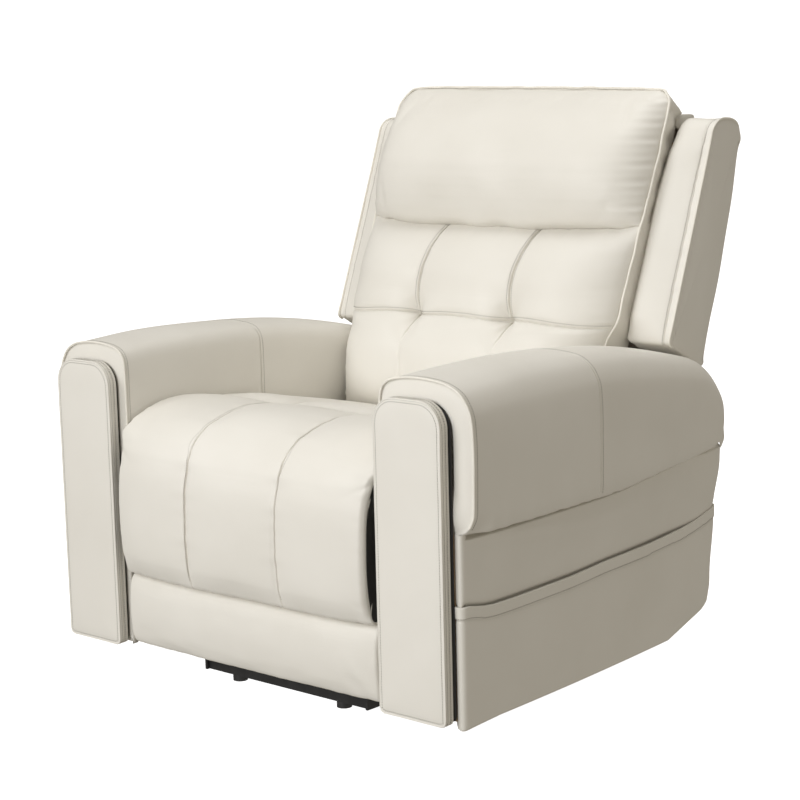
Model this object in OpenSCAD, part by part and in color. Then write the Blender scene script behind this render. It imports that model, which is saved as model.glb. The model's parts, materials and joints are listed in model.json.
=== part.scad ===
// Lift recliner chair: upholstered seat, arms and back on a powered lift base.
// Millimetres, +Z up, the chair faces -Y, X = 0 is the centre line.
// Heights are measured from the floor. Depths in this file start at the faces of
// the arm front panels and grow towards the rear; seated() moves them to the origin,
// which is the middle of the chair's footprint, on the floor.

/* [Overall] */
// Width over the outer faces of the two side panels
body_w = 920; // [900:5:960]
// Clear width between the two arm pads
seat_gap_w = 596; // [590:2:610]
// Height of the lower edge of the arms above the floor
skirt_z = 52; // [48:1:60]
// How far the footrest bulges in front of the arm front panels
front_reach = 23; // [23:1:30]

/* [Base] */
// Width over the side rails of the base
base_w = 380; // [370:2:384]
// Side of the square base tube
rail_s = 25; // [22:1:28]
// Depth position of the front tube's front face
base_front_y = 100; // [98:1:104]
// Depth position of the rear tube's rear face
base_rear_y = 785; // [775:1:790]
// Height of a foot
foot_h = 11; // [9:1:14]
// Radius of a foot
foot_r = 13; // [11:0.5:16]
// Distance of the front feet from the centre line
front_foot_x = 125; // [100:5:150]
// Distance of the rear feet from the centre line
rear_foot_x = 150; // [120:5:160]
// Thickness of a pivot plate
plate_t = 5; // [4:0.5:6]
// Height of the pivot plates' upper edge
base_plate_top = 126; // [122:1:130]

/* [Lift linkage] */
// Depth of the lift arm's base pivot
lift_y = 200; // [196:1:204]
// Height of the lift arm's base pivot
lift_z = 101; // [99:1:103]
// Depth of the lift arm's pivot on the chair frame
carry_y = 697; // [693:1:700]
// Height of the lift arm's pivot on the chair frame
carry_z = 175; // [173:1:177]
// Depth of the front link's base pivot
link_y = 111; // [109:1:113]
// Height of the front link's base pivot
link_z = 108; // [106:1:110]
// Depth of the front link's pivot on the chair frame
ride_y = 474; // [470:1:478]
// Height of the front link's pivot on the chair frame
ride_z = 183; // [181:1:185]
// Thickness of a lift arm and of a front link
link_t = 6; // [5:0.5:6]
// Width of a lift arm
lift_arm_w = 30; // [26:1:32]
// Width of a front link
front_link_w = 20; // [18:1:22]
// Radius of a pivot pin
pin_r = 7; // [6:0.5:8]
// Radial running clearance of a pin
pin_gap = 0.06; // [0.05:0.01:0.09]
// Radial clearance of the front link's loose upper eye
loose_gap = 2.2; // [2:0.1:2.5]
// Length of the crank on the lift arm
lift_crank = 105; // [102:1:108]
// Angle of the lift crank at rest, from straight back
lift_crank_a = 55.8; // [54:0.1:58]
// Slope of the lift motor
lift_slope = 10.2; // [9:0.1:11]
// Radius of the lift torque tube
cross_r = 11; // [9:0.5:11.5]

/* [Motors] */
// Radius of a motor's outer tube
motor_tube_r = 17; // [15:0.5:18]
// Radius of a push rod
push_rod_r = 9; // [8:0.5:10]
// Travel of the pin in the slot of a rod end, each way
rod_slot = 10; // [9.8:0.1:11]
// Thickness of a rod end
rod_end_t = 14; // [10:1:16]
// Distance from the pin to where the round rod starts
rod_neck = 28; // [26:1:32]
// Side clearance of the pin in the slot of a rod end
slot_gap = 1; // [1:0.1:1.4]
// Sideways place of the footrest motor
foot_motor_x = -95; // [-110:1:-85]
// Sideways place of the back motor
back_motor_x = 95; // [85:1:110]

/* [Chair frame] */
// Distance between the outer faces of the side plates
side_plate_w = 420; // [416:2:420]
// Height of the side plates' upper edge
side_plate_top = 310; // [308:1:312]
// Radius of the seat frame's cross tubes
seat_tube_r = 12.5; // [11:0.5:13]
// Depth of the front cross tube
front_tube_y = 130; // [125:1:135]
// Height of the front cross tube
front_tube_z = 285; // [280:1:290]
// Depth of the rear cross tube
rear_tube_y = 640; // [635:1:645]
// Height of the rear cross tube
rear_tube_z = 255; // [250:1:258]
// Outer width of the wooden seat box
seat_box_w = 572; // [564:2:576]
// Thickness of a seat box board
board_t = 22; // [18:1:24]
// Height of the seat deck at its front edge
deck_z = 400; // [399:0.5:401]
// Fall of the seat deck towards the rear
deck_fall = 50; // [45:1:55]
// Number of zigzag springs in the seat
seat_springs_n = 5; // [4:1:6]
// Number of zigzag springs in the back
back_springs_n = 4; // [3:1:5]
// Wire thickness of a zigzag spring
wire_t = 4; // [3:0.5:4]

/* [Back] */
// Depth of the recline hinge
hinge_y = 640; // [638:1:642]
// Height of the recline hinge
hinge_z = 400; // [398:1:402]
// Rearward lean of the back, depth for each unit of height
back_lean = 0.4; // [0.38:0.01:0.42]
// Depth of the cushion's piped edge at the headrest seam
seam_y = 715; // [712:1:718]
// Height of the seam below the headrest
seam_z = 772; // [766:1:778]
// Half width of the back cushion at its top
back_half_w = 321; // [318:1:323]
// Height of the top of the headrest
back_top_z = 1012; // [1005:1:1018]
// Height of the back cushion's lower edge
back_low_z = 424; // [423:1:428]
// Thickness of the back cushion behind its piped edge
cushion_t = 40; // [36:1:42]
// Distance of the sewn channels of the back from the centre line
back_channel_x = 113; // [105:1:120]
// Height of the cross seam that carries the tufts
tuft_z = 597; // [590:1:604]
// Radius of the back pivot tube
back_tube_r = 11; // [10:0.5:12]
// Length of the lever below the back pivot tube
back_lever = 85; // [83:1:87]
// Angle of the back lever at rest, from straight back
back_lever_a = -70; // [-71:0.5:-69]

/* [Wings] */
// Distance of a wing's inner face from the centre line
wing_in = 301; // [300:1:304]
// Distance of a wing's outer face from the centre line
wing_out = 398; // [394:1:400]
// Depth of a wing's front edge at its lower end
wing_y = 680; // [680:1:682]
// Height of a wing's lower front corner
wing_low_z = 562; // [562:1:566]
// Height of a wing's top
wing_top_z = 951; // [945:1:955]
// Lean of a wing's front face
wing_lean = 0.3876; // [0.38:0.001:0.39]
// Radius of a wing's upper front corner
wing_corner = 40; // [30:1:45]
// Depth of a wing at its lower end
wing_depth = 128; // [124:1:136]

/* [Arms] */
// Width over the two arm pads
arm_pad_w = 972; // [968:2:980]
// Height of the arm pad's lower edge
pad_low_z = 356; // [354:1:358]
// Height of the arm pad's highest line
pad_top_z = 600; // [596:1:604]
// Thickness of an arm front panel
front_panel_t = 26; // [22:1:27]
// How far an arm front panel stays inside the side panel's outer face
front_panel_edge = 20; // [18:1:24]
// Height of the top of an arm front panel
front_panel_top = 563; // [558:1:566]
// Depth of the rear end of the arms
arm_rear_y = 795; // [790:1:800]
// Depth where the sides start to turn in
turn_y = 580; // [560:5:600]
// How far the sides turn in at the rear
turn_in = 30; // [24:1:34]
// Height of the hem of the side pocket
pocket_z = 246; // [240:1:250]
// Thickness of the pocket's outer sheet
pocket_t = 2.5; // [2:0.1:2.6]
// Depth of the pocket between its sheet and the side panel
pocket_gap = 4.5; // [4.4:0.1:4.8]
// Thickness of a side panel
side_t = 10; // [8:0.5:12]
// Thickness of an arm frame board
arm_board_t = 12; // [10:1:14]

/* [Seat and footrest] */
// Width of the seat cushion
seat_w = 590; // [584:1:591]
// Distance of the seat's sewn channels from the centre line
seat_channel_x = 107; // [100:1:115]
// Depth of the footrest's turning centre
pole_y = 20; // [19:1:21]
// Height of the footrest's turning centre
pole_z = 460; // [459:1:461]
// Width of the footrest pad at its widest
foot_pad_w = 586; // [580:1:588]
// Height of the footrest's upper edge
foot_top_z = 400; // [398:0.5:400.5]
// Height of the seam between the two footrest pads
foot_seam_z = 189; // [185:1:193]
// Height of the footrest's lower edge
foot_low_z = 63; // [60:1:66]
// Depth of the rear face of the footrest pads
foot_pad_y = 39; // [38:0.5:40]
// Thickness of the footrest board
foot_board_t = 18; // [16:1:19]
// Depth of the drive link's pivot
drive_y = 195; // [193:1:197]
// Height of the drive link's pivot
drive_z = 285; // [283:1:287]
// Depth of the support link's pivot on the footrest
toe_y = 72; // [71:1:73]
// Height of the support link's pivot on the footrest
toe_z = 320; // [318:1:322]
// Length of the footrest crank
foot_crank = 36; // [35:0.5:37]
// Angle of the footrest crank at rest, from straight back
foot_crank_a = -47.5; // [-48:0.5:-47]
// Radius of the footrest torque tube
torque_r = 11; // [10:0.5:12]

/* [Handset] */
// Depth of the middle of the handset
handset_y = 240; // [200:5:300]
// Width of the handset
handset_w = 50; // [44:1:56]
// Thickness of the handset
handset_t = 19; // [17:0.5:20]
// Height of the handset's lower end above the floor
handset_z = 104; // [100:1:108]
// Length of the handset
handset_l = 146; // [136:1:150]
// Height of the pouch that holds the handset
pouch_h = 62; // [50:1:64]
// Wall of the pouch
pouch_t = 2; // [1.5:0.1:2.2]
// Clearance of the handset in its pouch
pouch_gap = 0.4; // [0.3:0.1:0.8]
// Radius of a handset button
button_r = 6; // [5:0.5:7]

/* [Hidden] */

leather = [0.89, 0.87, 0.83];
steel = [0.16, 0.16, 0.17];
zinc = [0.62, 0.63, 0.65];
plastic = [0.10, 0.10, 0.11];
wood = [0.76, 0.62, 0.42];
round_n = 48;
touch = 0.3;                        // running gap between soft and hard neighbours
// the back's depth behind its leaning front plane, by height
depth_zs = [514, 590, 664, 813, 938];
function back_depth(z) = wing_depth - lookup(z, [[514, 0], [590, 5], [664, 4.5], [813, 16.3], [938, 36.7]]);
function wing_face(z) = wing_y + wing_lean * (z - wing_low_z);
rear_reach = wing_face(938) + back_depth(938);
mid_y = (rear_reach - front_reach) / 2;

half_base = base_w / 2;
rail_top = foot_h + rail_s;
base_plate_x = half_base;
lift_arm_x = base_plate_x + plate_t + 1;
side_plate_x = side_plate_w / 2 - plate_t;
front_link_x = half_base - link_t - 1;
seat_link_x = side_plate_x + plate_t + 3;
toe_link_x = seat_link_x + link_t + 0.5;
toe_plate_x = toe_link_x + link_t + 0.5;
back_plate_x = side_plate_x + plate_t + 2;
pad_in = seat_gap_w / 2;
pad_out = arm_pad_w / 2;
side_out = body_w / 2;
panel_in = pad_in + 10;
board_in = panel_in + 1;
frame_side_x = side_out - pocket_t - pocket_gap - side_t;  // inner faces of the side panels
side_front_y = 14;                  // the side panels start beside the front panels
seat_box_x = seat_box_w / 2;
seat_rail_in = seat_box_x - board_t;
deck_front_y = 95;
deck_rear_y = 600;
bracket_t = 6;
rail_base_z = side_plate_top + bracket_t;
elbow_y = drive_y + toe_y - pole_y;
elbow_z = drive_z + toe_z - pole_z;
lift_pin_y = lift_y + lift_crank * cos(lift_crank_a);
lift_pin_z = lift_z + lift_crank * sin(lift_crank_a);
foot_pin_y = drive_y + foot_crank * cos(foot_crank_a);
foot_pin_z = drive_z + foot_crank * sin(foot_crank_a);
back_pin_y = hinge_y + back_lever * cos(back_lever_a);
back_pin_z = hinge_z + back_lever * sin(back_lever_a);

// ---------- helpers ----------
function mix(a, b, t) = a + (b - a) * t;
function ease(t) = let (c = min(1, max(0, t))) c * c * (3 - 2 * c);
function dent(d, w) = exp(-(d * d) / (w * w));
function edge_drop(d, r) = d >= r ? 0 : r - sqrt(max(0, r * r - (r - d) * (r - d)));
function middle(ps) = [for (k = [0:2]) let (s = [for (p = ps) p[k]]) s * [for (p = ps) 1] / len(ps)];
function both_ways(half) = [for (i = [len(half) - 1:-1:1]) -half[i], for (v = half) v];
// smooth open curve through hand-set points, n steps between neighbours
function curve_point(a, b, c, d, t) =
  0.5 * ((2 * b) + (c - a) * t + (2 * a - 5 * b + 4 * c - d) * t * t
    + (3 * b - a - 3 * c + d) * t * t * t);
function curve(ps, n) = [for (i = [0:len(ps) - 2]) for (k = [0:n - 1])
    curve_point(ps[max(0, i - 1)], ps[i], ps[i + 1], ps[min(len(ps) - 1, i + 2)], k / n),
  ps[len(ps) - 1]];
// closed outline moved inwards along its own normals; the outline runs clockwise
function shrink(ps, ds) = let (n = len(ps)) [for (i = [0:n - 1])
  let (t = ps[(i + 1) % n] - ps[(i + n - 1) % n], u = t / norm(t)) ps[i] + ds[i] * [u[1], -u[0]]];
function rounded(x0, z0, x1, z1, r_low, r_top, n) = concat(
  [for (k = [0:n]) let (a = 180 + 90 * k / n) [x0 + r_low + r_low * cos(a), z0 + r_low + r_low * sin(a)]],
  [for (k = [0:n]) let (a = 270 + 90 * k / n) [x1 - r_low + r_low * cos(a), z0 + r_low + r_low * sin(a)]],
  [for (k = [0:n]) let (a = 90 * k / n) [x1 - r_top + r_top * cos(a), z1 - r_top + r_top * sin(a)]],
  [for (k = [0:n]) let (a = 90 + 90 * k / n) [x0 + r_top + r_top * cos(a), z1 - r_top + r_top * sin(a)]]);

// closed skin over a row of rings with equal numbers of points
module loft(rings) {
  n = len(rings[0]);
  m = len(rings);
  low = m * n;
  turns = [for (i = [0:n - 1]) cross(rings[1][i], rings[1][(i + 1) % n])];
  facing = (middle(rings[m - 1]) - middle(rings[0])) * middle(turns);
  walls = [for (i = [0:m - 2]) for (j = [0:n - 1])
    let (a = i * n + j, b = i * n + (j + 1) % n) each [[a, b, a + n], [b, b + n, a + n]]];
  lids = [for (j = [0:n - 1]) each [[low, (j + 1) % n, j],
    [low + 1, (m - 1) * n + j, (m - 1) * n + (j + 1) % n]]];
  polyhedron(points = concat([for (r = rings) each r], [middle(rings[0]), middle(rings[m - 1])]),
    faces = [for (f = concat(walls, lids)) facing > 0 ? [f[2], f[1], f[0]] : f]);
}
module seated() translate([0, -mid_y, 0]) children();
module both_sides() {
  children();
  mirror([1, 0, 0]) children();
}
// extrudes a depth-height outline across the chair, from x = at, t thick
module across(at, t) translate([at, 0, 0]) rotate([90, 0, 90]) linear_extrude(t) children();
module tube_x(y, z, r, x0, x1) translate([x0, y, z]) rotate([0, 90, 0])
  cylinder(r = r, h = x1 - x0, $fn = round_n);
module block(low, high) translate(low) cube(high - low);
module bar_shape(p, q, w) {
  d = q - p;
  translate(p) rotate(atan2(d[1], d[0])) {
    translate([0, -w / 2]) square([norm(d), w]);
    for (x = [0, norm(d)]) translate([x, 0]) circle(d = w, $fn = round_n);
  }
}
module hole(y, z, r) translate([y, z]) circle(r = r, $fn = round_n);

// ---------- base ----------
module base_cross_tubes() color(steel) seated() for (y = [base_front_y, base_rear_y - rail_s])
  block([-half_base, y, foot_h], [half_base, y + rail_s, rail_top]);

module base_side_rails() color(steel) seated() both_sides()
  block([half_base - rail_s, base_front_y + rail_s, foot_h], [half_base, base_rear_y - rail_s, rail_top]);

module base_feet() color(plastic) seated() both_sides() {
  translate([front_foot_x, base_front_y + rail_s / 2, 0]) cylinder(r = foot_r, h = foot_h, $fn = round_n);
  translate([rear_foot_x, base_rear_y - rail_s / 2, 0]) cylinder(r = foot_r, h = foot_h, $fn = round_n);
}

base_plate_front = base_front_y - 6;
base_plate_rear = lift_y + 40;
module base_pivot_plates() color(steel) seated() both_sides() across(base_plate_x, plate_t) difference() {
  polygon([[base_plate_front, foot_h], [base_plate_rear, foot_h], [base_plate_rear - 15, base_plate_top],
    [base_plate_front, base_plate_top]]);
  hole(lift_y, lift_z, cross_r + pin_gap);
  hole(link_y, link_z, pin_r);
}

module base_pivot_pins() color(zinc) seated() both_sides()
  tube_x(link_y, link_z, pin_r, front_link_x - 2, base_plate_x + plate_t);

// lift motor's own frame: along +X to the rod end, from the pin in the rod end backwards
motor_run = 470;                    // from the rod end's pin to the motor's rear lug
module lift_motor_axis() seated() translate([0, lift_pin_y, lift_pin_z])
  rotate([90, 0, 90]) rotate(-lift_slope) children();
lug_t = 12;                         // thickness of a motor's rear lug
lug_half = 16;                      // half height of the plates that hold the lug
lever_pin_r = 6;
mount_gap = 0.5;                    // play beside a lug or a rod end
eye_wall = 5;                       // metal left around a pin

module lift_motor_mount() color(steel) seated() {
  lug_y = lift_pin_y + motor_run * cos(lift_slope);
  lug_z = lift_pin_z - motor_run * sin(lift_slope);
  for (s = [-1, 1]) across(s * (lug_t / 2 + mount_gap + plate_t / 2) - plate_t / 2, plate_t) difference() {
    polygon([[lug_y - lug_t, lug_z - lug_half], [lug_y - lug_t, lug_z + lug_half],
      [lug_y + 2 * lug_t, lug_z + lug_half], [base_rear_y, rail_top + 30], [base_rear_y, rail_top],
      [base_rear_y - rail_s, rail_top]]);
    hole(lug_y, lug_z, pin_r);
  }
  tube_x(lug_y, lug_z, pin_r, -lug_t / 2 - mount_gap - plate_t, lug_t / 2 + mount_gap + plate_t);
}

// one linear motor, drawn along its own axis: rod end pin at 0, motor towards +
head_l = 48;                        // length of the motor and gear housing
head_low = 22;                      // how far the housing reaches below the rod's axis
lug_l = 20;                         // from the housing to the lug's pin
rod_stop = 22;                      // solid length of tube behind the rod's bore
module motor_body(run, tube_start, head) {
  rotate([0, 90, 0]) translate([0, 0, tube_start]) difference() {
    cylinder(r = motor_tube_r, h = run - lug_l - head_l - tube_start, $fn = round_n);
    translate([0, 0, -1]) cylinder(r = push_rod_r + pin_gap, h = run - lug_l - head_l - rod_stop - tube_start,
      $fn = round_n);
  }
  translate([run - lug_l - head_l, -head_low, -head / 2]) cube([head_l, head, head]);
  difference() {
    translate([run - lug_l, -lug_t + 1, -lug_t / 2]) cube([lug_l + lug_t, 2 * (lug_t - 1), lug_t]);
    translate([run, 0, -lug_t]) cylinder(r = pin_r + pin_gap, h = 2 * lug_t, $fn = round_n);
  }
}
// rod end with a slot: the pin's arc moves it from 0 to rod_slot on one side (+1 up, -1 down)
module push_rod(rod_l, pin, side) {
  eye = pin + slot_gap + eye_wall;
  lower = side > 0 ? -eye : -eye - rod_slot;
  difference() {
    union() {
      translate([-eye, lower, -rod_end_t / 2]) cube([2 * eye, 2 * eye + rod_slot, rod_end_t]);
      translate([0, -push_rod_r, -rod_end_t / 2]) cube([rod_neck, 2 * push_rod_r, rod_end_t]);
    }
    for (y = [0, side * rod_slot]) translate([0, y, -rod_end_t])
      cylinder(r = pin + slot_gap, h = 2 * rod_end_t, $fn = round_n);
    translate([-pin - slot_gap, min(0, side * rod_slot), -rod_end_t])
      cube([2 * (pin + slot_gap), rod_slot, 2 * rod_end_t]);
  }
  rotate([0, 90, 0]) translate([0, 0, rod_neck])
    cylinder(r = push_rod_r, h = rod_l - rod_neck, $fn = round_n);
}

// ---------- lift linkage ----------
module lift_arms() color(steel) seated() both_sides() across(lift_arm_x, link_t) difference() {
  union() {
    bar_shape([lift_y, lift_z], [carry_y, carry_z], lift_arm_w);
    hole(lift_y, lift_z, cross_r + 1.6 * eye_wall);
  }
  hole(lift_y, lift_z, cross_r);
  hole(carry_y, carry_z, pin_r + pin_gap);
}

lift_pin_r = 8;
lift_lever_w = 30;
lever_in = rod_end_t / 2 + mount_gap;
module lift_torque_tube() color(steel) seated() {
  tube_x(lift_y, lift_z, cross_r, -lift_arm_x - link_t, lift_arm_x + link_t);
  for (s = [-1, 1]) across(s * (lever_in + plate_t) - (s > 0 ? plate_t : 0), plate_t)
    bar_shape([lift_y, lift_z], [lift_pin_y, lift_pin_z], lift_lever_w);
  tube_x(lift_pin_y, lift_pin_z, lift_pin_r, -lever_in - plate_t, lever_in + plate_t);
}

module front_links() color(steel) seated() both_sides() across(front_link_x, link_t) difference() {
  union() {
    bar_shape([link_y, link_z], [ride_y, ride_z], front_link_w);
    hole(ride_y, ride_z, pin_r + loose_gap + eye_wall);
  }
  hole(link_y, link_z, pin_r + pin_gap);
  hole(ride_y, ride_z, pin_r + loose_gap);
}

module lift_motor() color(plastic) lift_motor_axis() motor_body(motor_run, 150, 72);

module lift_push_rod() color(zinc) lift_motor_axis() push_rod(motor_run - 95, lift_pin_r, 1);

// power supply in a rear corner of the base, with a socket for the mains lead
supply_low = [-145, base_rear_y - rail_s - 72, foot_h + 3];
supply_high = [-65, base_rear_y - rail_s, rail_top + 24];
inlet_r = 11;
inlet_l = 8;
module inlet_axis() translate([supply_low[0], (supply_low[1] + supply_high[1]) / 2, foot_h + 28])
  rotate([0, 90, 0]) children();
module power_supply() color(plastic) seated() difference() {
  block(supply_low, supply_high);
  inlet_axis() cylinder(r = inlet_r, h = inlet_l, $fn = round_n);
}

module power_inlet() color(steel) seated() inlet_axis() difference() {
  cylinder(r = inlet_r, h = inlet_l, $fn = round_n);
  translate([0, 0, -1]) cylinder(r = inlet_r - 4, h = inlet_l - 1, $fn = round_n);
}

// ---------- chair frame ----------
module seat_side_plates() color(steel) seated() both_sides() across(side_plate_x, plate_t) difference() {
  union() {
    polygon([[deck_front_y, side_plate_top], [deck_front_y, front_tube_z - 25], [drive_y - 10, drive_z - 40],
      [ride_y - 30, ride_z - 22], [ride_y + 30, ride_z - 22], [carry_y - 20, carry_z - 22],
      [carry_y + 22, carry_z - 22], [carry_y + 22, carry_z + 20], [hinge_y + 20, hinge_z],
      [hinge_y - 20, hinge_z], [hinge_y - 30, side_plate_top]]);
    hole(hinge_y, hinge_z, 20);
  }
  hole(hinge_y, hinge_z, back_tube_r + pin_gap);
  hole(drive_y, drive_z, torque_r + pin_gap);
  hole(ride_y, ride_z, pin_r);
  hole(carry_y, carry_z, pin_r);
}

module seat_cross_tubes() color(steel) seated() {
  tube_x(front_tube_y, front_tube_z, seat_tube_r, -side_plate_x, side_plate_x);
  tube_x(rear_tube_y, rear_tube_z, seat_tube_r, -side_plate_x, side_plate_x);
}

module seat_pivot_pins() color(zinc) seated() both_sides() {
  tube_x(carry_y, carry_z, pin_r, lift_arm_x - 2, side_plate_x + plate_t);
  tube_x(ride_y, ride_z, pin_r, front_link_x - 2, side_plate_x + plate_t);
}

// flat brackets under the seat box, and spacers that carry the arms
bracket_w = 40;
spacer_w = 60;
spacer_h = 28;
module seat_brackets() color(steel) seated() both_sides() {
  for (y = [deck_front_y + 15, deck_rear_y - 100])
    block([side_plate_x, y, side_plate_top], [seat_box_x, y + bracket_w, rail_base_z]);
  for (y = [deck_front_y + 60, deck_rear_y - 170])
    block([seat_box_x, y, rail_base_z + 2], [board_in, y + spacer_w, rail_base_z + 2 + spacer_h]);
}

function deck(y) = deck_z - deck_fall * (y - deck_front_y) / (deck_rear_y - deck_front_y);

module seat_side_rails() color(wood) seated() both_sides() across(seat_rail_in, board_t)
  polygon([[deck_front_y, rail_base_z], [deck_rear_y, rail_base_z], [deck_rear_y, deck(deck_rear_y)],
    [deck_front_y, deck_z]]);

front_board_h = 50;
rear_board_y = deck_rear_y - 18;
module seat_end_boards() color(wood) seated() {
  block([-seat_box_x, deck_front_y - board_t, deck_z - front_board_h], [seat_box_x, deck_front_y, deck_z]);
  across(-seat_rail_in, 2 * seat_rail_in) polygon([[rear_board_y, rail_base_z + 20],
    [deck_rear_y, rail_base_z + 20], [deck_rear_y, deck(deck_rear_y)], [rear_board_y, deck(rear_board_y)]]);
}

// flat zigzag wire from (0, 0) to (run, 0), n turns, drawn as one strip
module zigzag(run, n, half, wire) {
  steps = 8 * n;
  line = [for (i = [0:steps]) [run * i / steps, half * sin(360 * n * i / steps)]];
  polygon(concat([for (p = line) p + [0, wire / 2]], [for (i = [steps:-1:0]) line[i] - [0, wire / 2]]));
}

module seat_springs() color(zinc) seated() {
  run = rear_board_y - deck_front_y;
  fall = atan2(deck(rear_board_y) - deck(deck_front_y), run);
  for (i = [0:seat_springs_n - 1])
    translate([seat_rail_in * (2 * (i + 0.5) / seat_springs_n - 1), deck_front_y + 0.5, deck_z - wire_t - 2])
      rotate([fall, 0, 0]) rotate([0, 0, 90]) linear_extrude(wire_t)
        zigzag(run / cos(fall) - 1, 9, 22, wire_t);
}

// control box on the inner face of the left side plate
control_size = [42, 110, 56];
control_low = [side_plate_x - control_size[0], 340, 206];
module control_box() color(plastic) seated() block(control_low, control_low + control_size);

foot_motor_run = 375;
module foot_motor_axis() seated() translate([foot_motor_x, foot_pin_y, foot_pin_z]) rotate([90, 0, 90])
  children();
module footrest_motor() color(plastic) {
  foot_motor_axis() motor_body(foot_motor_run, 80, 62);
  seated() translate([foot_motor_x, 0, 0])
    motor_ears(foot_pin_y + foot_motor_run, foot_pin_z, rear_tube_y, rear_tube_z);
}
module footrest_push_rod() color(zinc) foot_motor_axis() push_rod(foot_motor_run - 96, lever_pin_r, -1);

back_motor_run = 520;
module back_motor_axis() seated() translate([back_motor_x, back_pin_y, back_pin_z]) mirror([0, 1, 0])
  rotate([90, 0, 90]) children();
module back_motor() color(plastic) {
  back_motor_axis() motor_body(back_motor_run, 130, 62);
  seated() translate([back_motor_x, 0, 0])
    motor_ears(back_pin_y - back_motor_run, back_pin_z, front_tube_y, front_tube_z);
}
module back_push_rod() color(zinc) back_motor_axis() push_rod(back_motor_run - 155, lever_pin_r, -1);

// two ears and a pin that hold a motor's lug to a cross tube beside it
module motor_ears(lug_y, lug_z, tube_y, tube_z) {
  for (s = [-1, 1]) across(s * (lug_t / 2 + mount_gap + plate_t / 2) - plate_t / 2, plate_t) difference() {
    bar_shape([lug_y, lug_z], [tube_y, tube_z], 34);
    hole(tube_y, tube_z, seat_tube_r);
    hole(lug_y, lug_z, pin_r);
  }
  tube_x(lug_y, lug_z, pin_r, -lug_t / 2 - mount_gap - plate_t, lug_t / 2 + mount_gap + plate_t);
}

// ---------- arms ----------
// outline of an arm seen from the side: lower edge, rounded up at the rear
side_low = [[side_front_y, skirt_z], [613, skirt_z], [728, skirt_z + 38], [764, skirt_z + 62],
  [786, skirt_z + 100], [arm_rear_y, skirt_z + 148]];
function low_at(y) = lookup(y, side_low);
function inset_at(y) = turn_in * pow(max(0, (y - turn_y) / (arm_rear_y - turn_y)), 2);

// arm frame: an inner board, and three posts across to the side panel
post_t = 22;
arm_low_z = skirt_z + 8;
arm_top_z = pad_low_z - touch;
arm_front_y = front_panel_t + 2;
arm_board_rear = 760;
module arm_post(y, low) block([board_in + arm_board_t, y, low],
  [frame_side_x - inset_at(y + post_t) - touch, y + post_t, arm_top_z]);
module arm_frame() color(wood) seated() {
  across(board_in, arm_board_t) polygon([[arm_front_y, arm_low_z], [600, arm_low_z], [736, arm_low_z + 62],
    [arm_board_rear, arm_low_z + 102], [arm_board_rear, arm_top_z], [arm_front_y, arm_top_z]]);
  arm_post(arm_front_y, arm_low_z);
  arm_post(300, arm_top_z - 60);
  arm_post(700, arm_low_z + 88);
}
// a sheet that follows the arm's side, from one depth to another, as one solid for each stretch
module side_sheet(x, t, z_top, ys) loft([for (y = ys) let (xo = x - inset_at(y), zl = low_at(y))
  [[xo - t, y, zl], [xo, y, zl], [xo, y, z_top], [xo - t, y, z_top]]]);

rear_steps = [for (i = [0:12]) mix(turn_y, arm_rear_y, i / 12)];
side_panel_x = side_out - pocket_t - pocket_gap;
module side_panel() color(leather) seated() {
  side_sheet(side_panel_x, side_t, arm_top_z, [side_front_y, turn_y]);
  side_sheet(side_panel_x, side_t, arm_top_z, rear_steps);
  // the strip that closes the arm's rear end
  block([board_in, arm_rear_y - 30, skirt_z + 155],
    [side_panel_x - side_t - turn_in, arm_rear_y - 20, arm_top_z]);
}
pocket_hem = 10;
module pocket_panel() color(leather) seated() {
  side_sheet(side_out, pocket_t, pocket_z, [side_front_y, turn_y]);
  side_sheet(side_out, pocket_t, pocket_z, rear_steps);
  // the pocket's floor and its two sewn ends
  inner = side_out - pocket_t;
  block([side_panel_x, side_front_y, skirt_z], [inner, turn_y, skirt_z + pocket_hem]);
  block([side_panel_x, side_front_y, skirt_z + pocket_hem], [inner, side_front_y + pocket_hem, pocket_z]);
  block([side_panel_x, turn_y - pocket_hem, skirt_z + pocket_hem], [inner, turn_y, pocket_z]);
}

function pad_top(y) = pad_top_z - (y < 220 ? 8 * pow((220 - y) / 203, 2) : 0.000067 * pow(y - 220, 2.2));
pad_rear_r = 90;                    // the pad rolls down at its rear end
function pad_roll(y) = edge_drop(arm_rear_y - y, pad_rear_r);
// cross-section of an arm pad: flat underneath, crowned on top, drawn in below its sides
function pad_ring(y, d) = let (t = pad_top(y) - pad_roll(y) * 1.4 - d, xi = pad_in + d,
    xo = pad_out - inset_at(y) * 1.4 - d, h = max(30, t - pad_low_z), zb = pad_low_z)
  [for (p = concat([[xi + 2, zb], [xi, zb + h * 0.4], [xi, zb + h * 0.8]],
      [for (a = [165:-30:105]) [xi + 26 + 26 * cos(a), t - 32 + 24 * sin(a)]],
      [for (k = [[0.3, 4], [0.45, 0], [0.6, 1], [0.74, 5]]) [mix(xi, xo, k[0]), t - k[1]]],
      [for (a = [72:-18:18]) [xo - 44 + 43 * cos(a), t - 54 + 48 * sin(a)]],
      [[xo, zb + h * 0.62], [xo - 1, zb + h * 0.4], [xo - 6, zb + h * 0.12], [xo - 17, zb]]))
    [p[0], y, min(p[1], t)]];
pad_ys = concat([front_panel_t + touch, front_panel_t + 4, front_panel_t + 12],
  [for (y = [90:60:690]) y], [725, 750, 768, 781, 790, 794]);
module arm_pad() color(leather) seated() difference() {
  loft([for (y = pad_ys) pad_ring(y, y < 29 ? 6 : y < 34 ? 1 : 0)]);
  // room for the wing, which swings down behind the arm
  across(pad_in - 5, wing_out + 6 - pad_in + 5) difference() {
    translate([hinge_y + 38, pad_low_z - 10]) square([200, 300]);
    circle_at_hinge();
  }
}
wing_sweep = 160;                   // least distance of a wing from the recline hinge
module circle_at_hinge() translate([hinge_y, hinge_z]) circle(r = wing_sweep, $fn = 128);

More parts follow.
